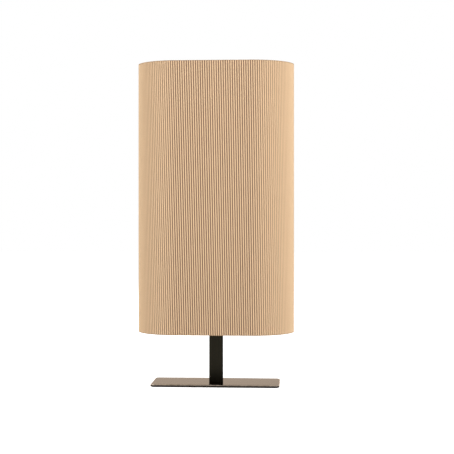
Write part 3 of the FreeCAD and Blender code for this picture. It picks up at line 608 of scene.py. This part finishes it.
def stem_finish():
    """The white plastic column that carries the light source, with faint mould flow."""
    finish = Finish("stem_plastic")
    flow = finish.noise(80, place=finish.stretched(1, 1, 0.3))
    return finish.done(
        Base_Color=finish.mix(flow, (0.84, 0.83, 0.80), (0.78, 0.77, 0.73)),
        Roughness=0.5 + flow * 0.1)


def floor_finish(tone, lift):
    """A plain floor. Its shading carries the lamp's shadow; to the camera, and in metal and glass,
    an even glow is added, so that it is white wherever the light on it is full."""
    finish = Finish("floor")
    shader = finish.node("ShaderNodeBsdfPrincipled", None, {
        "Base Color": finish.shades(finish.noise(60), tone, 1, 0.995),
        "Roughness": 0.95, "Specular IOR Level": 0.0})
    glow = finish.node(
        "ShaderNodeEmission", None, {"Color": (1, 1, 1), "Strength": finish.seen() * lift})
    return finish.closed(finish.node("ShaderNodeAddShader", None, {0: shader, 1: glow}))


# ------------------------------------------------------ the paper skin

def make_pleated_skin(settings):
    """Paper folded to and fro round the shade. Fold j is at j halves of a pleat along the path,
    plus its own small stray, which changes slowly up the shade, plus the lean less the fan times
    the sine of twice the turn gone round, times the share of the height above the middle. It lies
    half the pleat depth outside the middle line when j is even and inside it when j is odd. Between
    two folds the distance runs as the arc sine of a sharpness times a cosine, so that the folds are
    round. The two faces lie half the paper's thickness, square to the flanks, either side of that,
    and join at the cut edges, which stray a little. Gives the mesh and the strip's flat size."""
    random = np.random.default_rng(8)
    bottom, top = low("pleated_paper").z, high("pleated_paper").z
    half_x, half_y = high("pleated_paper").x, high("pleated_paper").y
    tall, depth, folds = top - bottom, settings.pleat_depth, 2 * settings.pleats
    between = 4  # columns from one fold to the next
    sharpness = 0.93  # of a fold: 1 is a zigzag and 0 a wave
    uneven_stray, uneven_reach, uneven_cut = 0.55, 0.03, 0.00012
    cut_band = 0.003  # how far from the cut edge its unevenness dies out

    flat = half_x - half_y
    pitch = (4 * flat + 2 * math.pi * (half_y - depth / 2)) / settings.pleats
    rise = math.hypot(1, 2 * depth / pitch) * settings.paper / 2
    middle = half_y - depth / 2 - rise
    quarter = math.pi / 2 * middle
    knots = np.cumsum([0, 0, quarter, 2 * flat, quarter, 0, quarter, 2 * flat, quarter])
    around = knots[-1]

    near_edge = np.array([0.0, 0.0005, 0.0014, 0.0030, 0.0060])
    inside = np.linspace(0.012, tall - 0.012, 18)
    levels = np.concatenate([near_edge, inside, tall - near_edge[::-1]])
    share = levels / tall

    wave = random.uniform(0, 2 * math.pi, (3, folds, 1))
    stray = random.normal(0, uneven_stray, (folds, 1)) + sum(
        0.5 / turn * np.cos(turn * math.pi * share[None] + wave[turn - 1]) for turn in (1, 2, 3))
    gone = np.arange(folds)[:, None] / folds
    sideways = settings.lean - settings.fan * np.sin(4 * math.pi * gone)
    place = gone * around + stray * settings.drift + sideways * (share[None] - 0.5)
    side = np.where(np.arange(folds) % 2 == 0, 1.0, -1.0)[:, None]
    reach = side * (1 - np.abs(random.normal(0, uneven_reach, (folds, 1))))

    step = np.arange(between) / between
    ease = 0.5 - np.arcsin(sharpness * np.cos(math.pi * step)) / (2 * math.asin(sharpness))
    following = np.concatenate([place[1:], place[:1] + around])
    spots = place[:, None] + (following - place)[:, None] * step[None, :, None]
    fold = reach[:, None] + (np.roll(reach, -1, axis=0) - reach)[:, None] * ease[None, :, None]
    spots = spots.reshape(folds * between, -1).T
    fold = np.broadcast_to(fold.reshape(folds * between, -1).T, spots.shape)

    centres, normals = path_at(spots % around, knots, flat, 0.0)
    uneven = np.abs(random.normal(0, uneven_cut, folds * between))
    uneven = (uneven + np.roll(uneven, 1) + np.roll(uneven, -1)) / 3
    above_foot = ramp(levels, 0, cut_band)[:, None]
    below_top = ramp(levels, tall, tall - cut_band)[:, None]
    uneven_top = np.roll(uneven, 7)
    heights = bottom + levels[:, None] + uneven * (1 - above_foot) - uneven_top * (1 - below_top)

    def face(shift):
        flat_place = centres + normals * (middle + fold * depth / 2 + shift)[..., None]
        return np.concatenate([flat_place, heights[..., None]], axis=-1)

    # Rows go up the outer face and down the inner one.
    grid = np.concatenate([face(rise), face(-rise)[::-1]])
    # fold and spread place the painted shade and highlight in the paper's finish; edge places the
    # cut-edge band
    marks = {
        "fold": np.concatenate([fold, fold[::-1]]),
        "edge": np.tile(np.minimum(levels, levels[::-1])[:, None] + 0 * fold, (2, 1)),
        "spread": np.tile(np.abs(normals[..., 0]), (2, 1)),
    }
    mesh = surface("pleated_skin", grid, closed=True, marks=marks, angle=75)
    return mesh, (folds * math.hypot(around / folds, depth), tall)


class LAMP_OT_pleated_skin(bpy.types.Operator):
    """Fold the paper strip round the shade"""

    bl_idname = "lamp.pleated_skin"
    bl_label = "Pleated paper"

    def execute(self, context):
        settings = context.scene.lamp_shade
        mesh, flat = make_pleated_skin(settings)
        skin = add_piece(
            mesh, pleated_paper_finish(settings), "shade", "pleated_paper")
        return {"FINISHED"}


# ------------------------------------------------------ liner, wire frame and fitter

class LAMP_OT_liner(bpy.types.Operator):
    """Add the smooth sheet that the pleats are glued to, with its lapped seam at the back"""

    bl_idname = "lamp.liner"
    bl_label = "Liner"

    def execute(self, context):
        """A thin upright section carried round the shade's outline. The lap is a second thickness
        inside the back flat: a small rounded outline carried straight up."""
        foot, head = low("liner"), high("liner")
        outside, inside = head.y, head.y - 0.0005
        soft_edge, inset, rows = 0.00015, 0.001, 9
        section = rounded(
            [(outside, foot.z), (outside, head.z), (inside, head.z), (inside, foot.z)], soft_edge)
        quarter = len(section) // 4
        section = np.concatenate([
            section[:quarter], upright(outside, foot.z + inset, head.z - inset, rows),
            section[quarter:3 * quarter], upright(inside, head.z - inset, foot.z + inset, rows),
            section[3 * quarter:],
        ])
        path = rounded_path(head.x, head.y, head.y, 48, 24)
        body = surface("liner_body", carried(path, section), closed=True)

        lap_width, lap_wall, lap_corner, lap_inset = 0.012, 0.00026, 0.00012, 0.0005
        strip = rounded_path(lap_width / 2, lap_wall / 2, lap_corner, 4)
        seam = carried(strip, upright(lap_corner, foot.z + lap_inset, head.z - lap_inset, 2))
        seam[..., 1] += inside - lap_wall / 2
        add_piece(
            combined("shade_liner", [body, surface("liner_seam", seam)]),
            liner_finish(context.scene.lamp_shade), "shade", "liner")
        return {"FINISHED"}


def wire_between(start, end, radius, side):
    """A straight wire whose radius grows as a sine quarter over half a radius at each end."""
    start, end = np.asarray(start, float), np.asarray(end, float)
    along = (end - start) / np.linalg.norm(end - start)
    quarter = np.linspace(0, math.pi / 2, 5)
    inward = along * (radius / 2 * (1 - np.cos(quarter)))[:, None]
    radii = radius * np.sin(quarter)
    return tube(
        np.concatenate([start + inward, end - inward[::-1]]),
        np.concatenate([radii, radii[::-1]]), side)


def bead(centre, radius, stretch=(1, 1, 1)):
    """A weld bead: a ball whose radius swells and shrinks by 6% with the angle and the height."""
    height = np.linspace(-math.pi / 2, math.pi / 2, 9)[:, None]
    angle = round_angles(14)[None]
    size = radius * (1 + 0.06 * np.sin(3 * angle + 2 * height))
    ball = np.stack([
        size * np.cos(height) * np.cos(angle), size * np.cos(height) * np.sin(angle),
        size * np.sin(height) + 0 * angle], axis=-1)
    ball[0], ball[-1] = ball[0].mean(axis=0), ball[-1].mean(axis=0)
    return ball * np.asarray(stretch) + np.asarray(centre)


class LAMP_OT_wire_frame(bpy.types.Operator):
    """Bend the rings and weld on the stays and arms"""

    bl_idname = "lamp.wire_frame"
    bl_label = "Wire frame"

    def execute(self, context):
        """Each ring is a circle carried round the shade's outline."""
        settings = context.scene.lamp_shade
        finish = white_lacquer_finish(settings)
        angle = round_angles(16)
        for ring in ("bottom_ring", "top_ring"):
            foot, head = low(ring), high(ring)
            wire, level = (head.z - foot.z) / 2, (head.z + foot.z) / 2
            section = np.stack([
                head.y - wire + wire * np.cos(angle), level + wire * np.sin(angle)], axis=-1)
            path = rounded_path(head.x, head.y, head.y, 40, 2)
            self.add_wire(ring, [carried(path, section)], finish, closed=True)
        for face in ("front", "rear"):
            for end in ("left", "right"):
                self.add_stay_and_arm(f"{face}_{end}", wire, settings.weld, finish)
        return {"FINISHED"}

    def add_wire(self, node, grids, finish, closed=False):
        """One piece of wire with its beads."""
        parts = [surface(node, grid, closed) for grid in grids]
        add_piece(combined(node + "_wire", parts), finish, "shade", node)

    def add_stay_and_arm(self, corner, wire, weld, finish):
        """An upright stay with a bead at each ring, and the arm from it to the fitter, with a bead
        at the stay and one on the fitter's rim."""
        stay, arm = "stay_" + corner, "arm_" + corner
        foot, head = low(stay), high(stay)
        x, y = (foot.x + head.x) / 2, (foot.y + head.y) / 2
        ends = (x, y, foot.z), (x, y, head.z)
        beads = [bead(end, weld, (1, 0.75, 1.2)) for end in ends]
        self.add_wire(stay, [wire_between(*ends, wire, (1, 0, 0)), *beads], finish)

        inner_end, rim = 0.0245, 0.0278
        level = (low(arm).z + high(arm).z) / 2
        away = math.hypot(x, y)
        way = np.array([x, y, 0]) / away
        start = way * inner_end + (0, 0, level)
        stop = way * (away - wire - PLAY) + (0, 0, level)
        self.add_wire(arm, [
            wire_between(start, stop, wire, (-way[1], way[0], 0)),
            bead(stop, weld, (1, 1, 0.9)),
            bead(way * rim + (0, 0, level + wire / 2), weld * 0.8),
        ], finish)


class LAMP_OT_fitter(bpy.types.Operator):
    """Press the ring that sits on the lampholder"""

    bl_idname = "lamp.fitter"
    bl_label = "Fitter ring"

    def execute(self, context):
        """A flat ring with an upright lip round its outside, turned about the axis."""
        foot, head = low("fitter_ring").z, high("fitter_ring")
        bore, lip, floor = 0.0203, head.x - 0.0012, foot + 0.0015
        section = rounded([
            (bore, foot), (head.x, foot), (head.x, head.z), (lip, head.z), (lip, floor),
            (bore, floor),
        ], [0.0005, 0.0009, 0.0003, 0.0003, 0.0004, 0.0004], 5)
        add_piece(
            turned("fitter_pressing", section, 96), white_lacquer_finish(context.scene.lamp_shade),
            "shade", "fitter_ring")
        return {"FINISHED"}


class LAMP_OT_ring_nut(bpy.types.Operator):
    """Mould the ribbed ring nut that clamps the shade"""

    bl_idname = "lamp.ring_nut"
    bl_label = "Ring nut"

    def execute(self, context):
        """The outer wall's distance grows by a rounded rib wherever the cosine of the rib count
        times the angle is high, and the bore's distance falls by the thread's crest, a cosine of
        the angle plus the height in turns."""
        settings = context.scene.lamp_light
        foot, head = low("shade_ring").z, high("shade_ring")
        bore, body, flange = 0.02005, 0.0235, foot + 0.0025
        rib, crest, columns_a_rib, bore_rows = 0.0009, 0.00012, 10, 26
        columns = settings.ribs * columns_a_rib
        outside = rounded([
            (head.x, foot), (head.x, flange), (body, flange), (body, head.z), (bore, head.z),
        ], [0.0005, 0.0005, 0.0004, 0.0008, 0.0005], 4, closed=False)
        inside = upright(bore, head.z - 0.0004, foot + 0.0004, bore_rows)
        grid = per_column(np.concatenate([outside, inside, [(bore, foot)]]), columns)
        distance, level = grid[..., 0], grid[..., 1]
        angle = round_angles(columns)[None]

        near = 0.0003
        ribbed = (level > flange + 0.0002) & (level < head.z - 2 * near)
        ribbed &= np.abs(distance - body) < near
        distance += ribbed * rib * np.clip(np.cos(settings.ribs * angle) * 1.6 - 0.6, 0, 1) ** 0.5
        bored = (level > foot + near) & (level < head.z - near) & (np.abs(distance - bore) < 1e-6)
        turns = angle / (2 * math.pi) + level / settings.collar_pitch
        distance -= bored * crest * (1 + np.cos(2 * math.pi * turns))
        add_piece(
            turned("ring_nut", grid, columns, angle=50),
            moulded_finish("ring_nut_plastic", (0.018, 0.017, 0.016), 0.36),
            "shade_ring", "shade_ring")
        return {"FINISHED"}


# ------------------------------------------------------ stand

class LAMP_OT_base_plate(bpy.types.Operator):
    """Cut the plate with its softened top edge, and lay it on its foam"""

    bl_idname = "lamp.base_plate"
    bl_label = "Base plate"

    def execute(self, context):
        """The profile runs out along the underside, up the wall and in over the bevel, whose corner
        points are rounded, and is carried round the plate's outline. The edge mark is 1 on the
        bevel."""
        settings = context.scene.lamp_stand
        foot, head = low("base_plate").z, high("base_plate")
        corner, border, bevel = 0.008, 0.005, settings.bevel
        wall = rounded([
            (corner - border, foot), (corner, foot), (corner, head.z - bevel),
            (corner - bevel, head.z), (corner - border, head.z),
        ], [0, 0.0003, 0.0004, 0.0004, 0], 5, closed=False)
        apart = np.linalg.norm(np.diff(wall, axis=0), axis=1) > SAME_POINT
        wall = wall[np.concatenate([[True], apart])]
        rim = ramp(wall[:, 1], head.z - bevel * 1.1, head.z - bevel * 0.8)
        rim *= ramp(wall[:, 0], corner - bevel * 1.15, corner - bevel * 0.95)
        grid = carried(rounded_path(head.x, head.y, corner, 20, 40), wall)
        # The edge mark places the painted highlight along the bevel
        marks = {"edge": np.repeat(rim[:, None], grid.shape[1], axis=1)}
        add_piece(
            surface("plate", grid, marks=marks, angle=40), plate_lacquer_finish(settings),
            "stand", "base_plate")
        dress(foam_finish(), "foot_pad")
        return {"FINISHED"}


class LAMP_OT_post(bpy.types.Operator):
    """Draw the flat tube with its plug, bush and lead"""

    bl_idname = "lamp.post"
    bl_label = "Post"

    def execute(self, context):
        satin = post_lacquer_finish(context.scene.lamp_stand)
        corner, wall = 0.002, 0.0015
        back = high("post_tube").y
        level = (low("cable_bush").z + high("cable_bush").z) / 2
        self.add_tube(satin, corner, wall, back, level)
        self.add_plug(satin, corner, corner - wall)
        self.add_bush(back + PLAY, level)
        dress(moulded_finish("lead_sheath", (0.02, 0.02, 0.02), 0.55, 1200), "inner_lead")
        dress(moulded_finish("core_brown", (0.14, 0.06, 0.03), 0.45), "live_core")
        dress(moulded_finish("core_blue", (0.03, 0.10, 0.36), 0.45), "neutral_core")
        return {"FINISHED"}

    def add_tube(self, finish, corner, wall, back, level):
        """The wall is a section carried round the tube's outline, and its edge mark is 1 where both
        parts of the outline's normal are well away from 0. A cylinder cuts its hole."""
        foot, head = low("post_tube").z, high("post_tube")
        path = rounded_path(head.x, head.y, corner, 10, 6)
        section = rounded([
            (corner, foot), (corner, head.z), (corner - wall, head.z), (corner - wall, foot),
        ], 0.00025)
        # The edge mark places the painted shade at the corners
        in_corner = np.abs(path[1]).min(axis=1) > 0.05
        marks = {"edge": np.repeat((in_corner * 1.0)[None], len(section), axis=0)}
        tube_mesh = surface("post", carried(path, section), closed=True, marks=marks)
        post = add_piece(tube_mesh, finish, "stand", "post_tube")
        self.cut_hole(post, 0.00475, back, level)

    def cut_hole(self, post, radius, depth, level):
        """Cuts a round hole through the back wall, merges what the cut leaves closer than a
        thousandth of a millimetre, and leaves no modifier behind."""
        cutter = placed("cutter", bpy.data.meshes.new("cutter"))
        with edited(cutter.data) as work:
            bmesh.ops.create_cone(
                work, cap_ends=True, segments=48, radius1=radius, radius2=radius, depth=depth)
            bmesh.ops.rotate(work, verts=work.verts, matrix=Matrix.Rotation(math.pi / 2, 3, "X"))
            bmesh.ops.translate(work, verts=work.verts, vec=(0, depth, level))
        hole = post.modifiers.new("hole", "BOOLEAN")
        hole.operation, hole.object, hole.solver = "DIFFERENCE", cutter, "EXACT"
        drilled = bpy.data.meshes.new_from_object(
            post.evaluated_get(bpy.context.evaluated_depsgraph_get()))
        post.modifiers.clear()
        bpy.data.objects.remove(cutter)
        drilled.name = "post"
        with edited(drilled) as work:
            close = 1e-6
            bmesh.ops.remove_doubles(work, verts=work.verts, dist=close)
            bmesh.ops.dissolve_degenerate(work, edges=work.edges, dist=close)
            bmesh.ops.triangulate(work, faces=[face for face in work.faces if len(face.verts) > 4])
        smooth(drilled)
        post.data = drilled

    def add_plug(self, finish, corner, inner):
        """The plug's spigot and its lid, carried round the tube's outline."""
        foot, head, seat = low("post_cap").z, high("post_cap"), high("post_tube").z
        profile = rounded([
            (inner, foot), (inner - PLAY, foot + 0.0004), (inner - PLAY, seat), (corner, seat),
            (corner, head.z), (inner, head.z),
        ], [0, 0.0002, 0.0001, 0.0002, 0.0006, 0], 5, closed=False)
        grid = carried(rounded_path(head.x, head.y, corner, 10, 6), profile)
        add_piece(
            surface("post_plug", grid, marks={"edge": np.zeros(grid.shape[:2])}), finish,
            "stand", "post_cap")

    def add_bush(self, seat, level):
        """A flanged sleeve turned about the upright axis, then laid along Y at its level. Taking
        its rows the other way round keeps its faces outward."""
        back, front = high("cable_bush").y, low("cable_bush").y
        bore, sleeve, flange = 0.0033, 0.0047, 0.0065
        section = rounded([
            (bore, front), (bore, back), (flange, back), (flange, seat), (sleeve, seat),
            (sleeve, front),
        ], [0.0003, 0.0012, 0.0008, 0.0003, 0.0002, 0.0003], 5)
        x, y, z = np.moveaxis(carried(circle_path(48), section), -1, 0)
        laid = np.stack([x, z, level - y], axis=-1)
        add_piece(
            surface("lead_bush", laid[::-1], closed=True),
            moulded_finish("nylon", (0.016, 0.016, 0.017), 0.5, 2200),
            "stand", "cable_bush")


# ------------------------------------------------------ lampholder and its fixings

def thread(grid, distance, pitch, depth, start, end):
    """How far a rounded thread is cut into the points of a grid that are at a distance: half its
    depth times 1 minus the cosine of the angle less the height in turns, faded in and out over half
    a turn at its start and end heights."""
    heights = grid[..., 1]
    turns = round_angles(grid.shape[1])[None] / (2 * math.pi) - heights / pitch
    fade = ramp(heights, start, start + pitch / 2) * ramp(heights, end, end - pitch / 2)
    here = np.abs(grid[..., 0] - distance) < SAME_POINT
    return here * fade * depth * 0.5 * (1 - np.cos(2 * math.pi * turns))


class LAMP_OT_lampholder(bpy.types.Operator):
    """Mould the lampholder and fit its metal and ceramic parts"""

    bl_idname = "lamp.lampholder"
    bl_label = "Lampholder"

    def execute(self, context):
        black = moulded_finish("phenolic", (0.016, 0.015, 0.014), 0.30)
        side = high("lampholder_cap").x
        self.add_cup(black, side)
        self.add_skirt(black, side, context.scene.lamp_light.collar_pitch)
        dress(
            metal_finish("zinc_plate", (0.62, 0.61, 0.58), 0.28, 0.12), "nipple", "nipple_washer",
            "nipple_nut", "base_screws", "post_foot_block", "nipple_grub_screw")
        dress(
            metal_finish("sheet_brass", (0.80, 0.58, 0.24), 0.24, 0.10), "terminal_screws",
            "centre_contact", "side_contact")
        dress(ceramic_finish(), "lampholder_insert")
        return {"FINISHED"}

    def add_cup(self, finish, side):
        """The lower cup: a neck on the nipple that widens to the wall, turned about the axis."""
        foot, head = low("lampholder_cap").z, high("lampholder_cap").z
        bore, neck, recess, inside = 0.00505, 0.008, 0.009, side - 0.002
        neck_top, bore_top, step, wide, floor = foot + np.array([0.008, 0.010, 0.012, 0.013, 0.014])
        section = rounded([
            (bore, foot), (neck, foot), (neck, neck_top), (side, wide), (side, head),
            (inside, head), (inside, floor), (recess, floor), (recess, step), (bore, bore_top),
        ], [0.0003, 0.001, 0.0015, 0.0025, 0.0004, 0.0003, 0.0006, 0.0004, 0.0004, 0.0003], 5)
        add_piece(
            turned("holder_cup", section, 80), finish, "stand", "lampholder_cap")

    def add_skirt(self, finish, side, pitch):
        """The upper skirt: a wall, a shoulder for the fitter, and a threaded collar round the
        socket, turned about the axis."""
        foot, head = low("lampholder_skirt").z, high("lampholder_skirt").z
        shoulder, collar, socket, cavity = 0.0235, 0.01975, 0.0134, 0.01765
        seat, floor, lip, thread_depth = foot + 0.011, head - 0.021, 0.0006, 0.0007
        under, rows, columns = seat - 0.0025, 64, 72
        start = rounded([
            (cavity, floor), (cavity, foot), (side, foot), (side, under), (shoulder, under),
            (shoulder, seat), (collar, seat),
        ], [0, 0.0004, 0.0004, 0.0005, 0.0006, 0.0006, 0], 4, closed=False)
        end = rounded([
            (collar, head - lip), (collar, head), (socket, head), (socket, floor + 0.0003),
        ], [0, lip, lip, 0], 4, closed=False)
        screwed = upright(collar, seat, head - lip, rows)[1:-1]
        grid = per_column(np.concatenate([start, screwed, end]), columns)
        grid[..., 0] -= thread(grid, collar, pitch, thread_depth, seat + 0.001, head - 0.001)
        add_piece(
            turned("holder_skirt", grid, columns), finish, "stand",
            "lampholder_skirt")


# ------------------------------------------------------ bulb

class LAMP_OT_bulb(bpy.types.Operator):
    """Blow the tubular glass and roll its threaded cap"""

    bl_idname = "lamp.bulb"
    bl_label = "Bulb"

    def execute(self, context):
        settings = context.scene.lamp_light
        nickel = metal_finish("nickel_plate", (0.70, 0.67, 0.61), 0.22, 0.10)
        self.add_glass(opal_glass_finish(settings))
        self.add_cap(nickel, settings.thread_pitch)
        dress(nickel, "bulb_contact")
        dress(black_glass_finish(), "bulb_insulator")
        dress(stem_finish(), "bulb_stem")
        return {"FINISHED"}

    def add_glass(self, finish):
        """Outside, from the neck up: the distance eases out to the full radius as 3 t squared less
        2 t cubed, runs straight up and closes over a half ball. The inside follows it a wall's
        thickness in, and the two are joined at the neck."""
        foot, head = low("bulb_glass").z, high("bulb_glass").z
        radius, wall, neck = high("bulb_glass").x, 0.001, 0.0124
        shoulder, rise, straight = foot + 0.00405, 0.0026, foot + 0.01005
        equator = head - radius
        dome = np.linspace(0, math.pi / 2, 20)[1:]
        ease = np.linspace(0, 1, 9)

        def half_ball(size):
            return np.stack([size * np.cos(dome), equator + size * np.sin(dome)], axis=-1)

        widening = neck + (radius - neck) * (ease * ease * (3 - 2 * ease))
        outer = np.concatenate([
            [(neck, foot)], np.stack([widening, shoulder + rise * ease], axis=-1),
            upright(radius, straight, equator, 11), half_ball(radius),
        ])
        inner = np.concatenate([half_ball(radius - wall)[::-1], [
            (radius - wall, equator), (radius - wall, shoulder + rise), (neck - wall, shoulder),
            (neck - wall, foot),
        ]])
        outer[-1, 0] = inner[0, 0] = 0
        path = circle_path(64)
        tube_mesh = combined("glass_tube", [
            surface("glass_outside", carried(path, outer)),
            surface("glass_inside", carried(path, inner))])
        with edited(tube_mesh) as work:
            lids = [face for face in work.faces if len(face.verts) > 4]
            bmesh.ops.delete(work, geom=lids, context="FACES_ONLY")
            rims = [edge for edge in work.edges if len(edge.link_faces) == 1]
            bmesh.ops.bridge_loops(work, edges=rims)
            for face in work.faces:
                face.smooth = True
            bmesh.ops.recalc_face_normals(work, faces=work.faces)
        add_piece(tube_mesh, finish, "bulb", "bulb_glass")

    def add_cap(self, finish, pitch):
        """A thin shell turned about the axis: a cone, a threaded body and a flare to the glass."""
        foot, head = low("bulb_cap").z, high("bulb_cap").z
        body, cone, flare, wall, thread_depth = 0.0131, 0.01105, high("bulb_cap").x, 0.0004, 0.0011
        inside, cone_top, body_top = body - 3 * wall, foot + body - cone, head - 0.0022
        rows, columns = 60, 72
        rim = rounded([
            (body, body_top), (flare, head), (flare - wall, head), (inside, body_top),
        ], [0, 0.0003, 0.0002, 0], 4, closed=False)[1:]
        grid = per_column(np.concatenate([
            [(cone, foot)], upright(body, cone_top, body_top, rows), rim,
            [(inside, cone_top), (cone, foot + wall)],
        ]), columns)
        grid[..., 0] -= thread(grid, body, pitch, thread_depth, foot + 0.002, head - 0.0045)
        add_piece(
            turned("bulb_screw_cap", grid, columns), finish, "bulb", "bulb_cap")


# ------------------------------------------------------ studio

class LAMP_OT_studio(bpy.types.Operator):
    """Set up the floor, the soft light and the camera"""

    bl_idname = "lamp.studio"
    bl_label = "Studio"

    def execute(self, context):
        settings = context.scene.lamp_studio
        context.scene.view_settings.view_transform = "Standard"
        context.scene.camera = self.add_camera(settings)
        context.scene.world = self.make_world(settings.fill)
        self.add_floor(settings)
        self.add_panel("right_panel", (1.20, -1.30, 1.30), settings.key)
        self.add_panel("left_panel", (-1.25, -1.15, 1.30), settings.second)
        self.add_panel("rear_panel", (-0.30, 1.80, 1.60), settings.back)
        return {"FINISHED"}

    def add_camera(self, settings):
        """A level camera: turned by the heading, with the horizon placed by its shift."""
        lens = bpy.data.cameras.new("camera")
        lens.lens, lens.sensor_width, lens.sensor_fit = settings.lens, 36, "HORIZONTAL"
        lens.shift_y = settings.rise
        camera = placed("camera", lens)
        camera.location = settings.place
        camera.rotation_euler = (math.pi / 2, 0, settings.heading)
        return camera

    def make_world(self, fill):
        """White all round for the camera, metal and glass, and a weaker room light on the lamp."""
        world = bpy.data.worlds.new("studio")
        nodes = Nodes(world)
        backdrop = nodes.node("ShaderNodeBackground", None, {
            "Color": (1, 1, 1), "Strength": nodes.seen() * (1 - fill) + fill})
        nodes.node("ShaderNodeOutputWorld", None, {"Surface": backdrop})
        return world

    def add_floor(self, settings):
        """A flat sheet, its points on a grid of 3 by 3."""
        reach = 6.0
        across, away = np.meshgrid([-reach, 0, reach], [-reach, 0, reach])
        points = np.stack([across, away, 0 * across], axis=-1).reshape(-1, 3)
        quads = [(first, first + 1, first + 4, first + 3) for first in (0, 1, 3, 4)]
        mesh = bpy.data.meshes.new("floor")
        mesh.from_pydata(points, [], quads)
        mesh.materials.append(floor_finish(settings.floor, settings.lift))
        placed("floor", mesh)

    def add_panel(self, name, place, strength):
        """A square soft panel, 1 m wide, turned to the shade's middle."""
        panel = bpy.data.lights.new(name, "AREA")
        panel.shape, panel.size, panel.energy = "SQUARE", 1.0, strength
        light = placed(name, panel)
        light.location = place
        away = Vector((0, 0, 0.35)) - light.location
        light.rotation_euler = away.to_track_quat("-Z", "Y").to_euler()


# ------------------------------------------------------ panel and registration

STEPS = (
    LAMP_OT_studio, LAMP_OT_liner, LAMP_OT_pleated_skin, LAMP_OT_wire_frame, LAMP_OT_fitter,
    LAMP_OT_ring_nut, LAMP_OT_base_plate, LAMP_OT_post, LAMP_OT_lampholder, LAMP_OT_bulb,
)

GROUPS = {
    "lamp_shade": ShadeSettings,
    "lamp_stand": StandSettings,
    "lamp_light": LightSettings,
    "lamp_studio": StudioSettings,
}


class LAMP_PT_pieces(bpy.types.Panel):
    """The lamp's sizes and colours, and the button that makes each piece"""

    bl_idname = "LAMP_PT_pieces"
    bl_label = "Pleated lamp"
    bl_space_type = "VIEW_3D"
    bl_region_type = "UI"
    bl_category = "Lamp"

    def draw(self, context):
        for group, settings in GROUPS.items():
            box = self.layout.box()
            for name in settings.__annotations__:
                box.prop(getattr(context.scene, group), name)
        for step in STEPS:
            self.layout.operator(step.bl_idname)


CLASSES = (*GROUPS.values(), *STEPS, LAMP_PT_pieces)


def register():
    for cls in CLASSES:
        bpy.utils.register_class(cls)
    for group, settings in GROUPS.items():
        setattr(bpy.types.Scene, group, PointerProperty(type=settings))


def unregister():
    for group in GROUPS:
        delattr(bpy.types.Scene, group)
    for cls in reversed(CLASSES):
        bpy.utils.unregister_class(cls)


def main():
    register()
    for step in STEPS:
        getattr(bpy.ops.lamp, step.bl_idname.split(".")[1])()


if __name__ == "__main__":
    main()
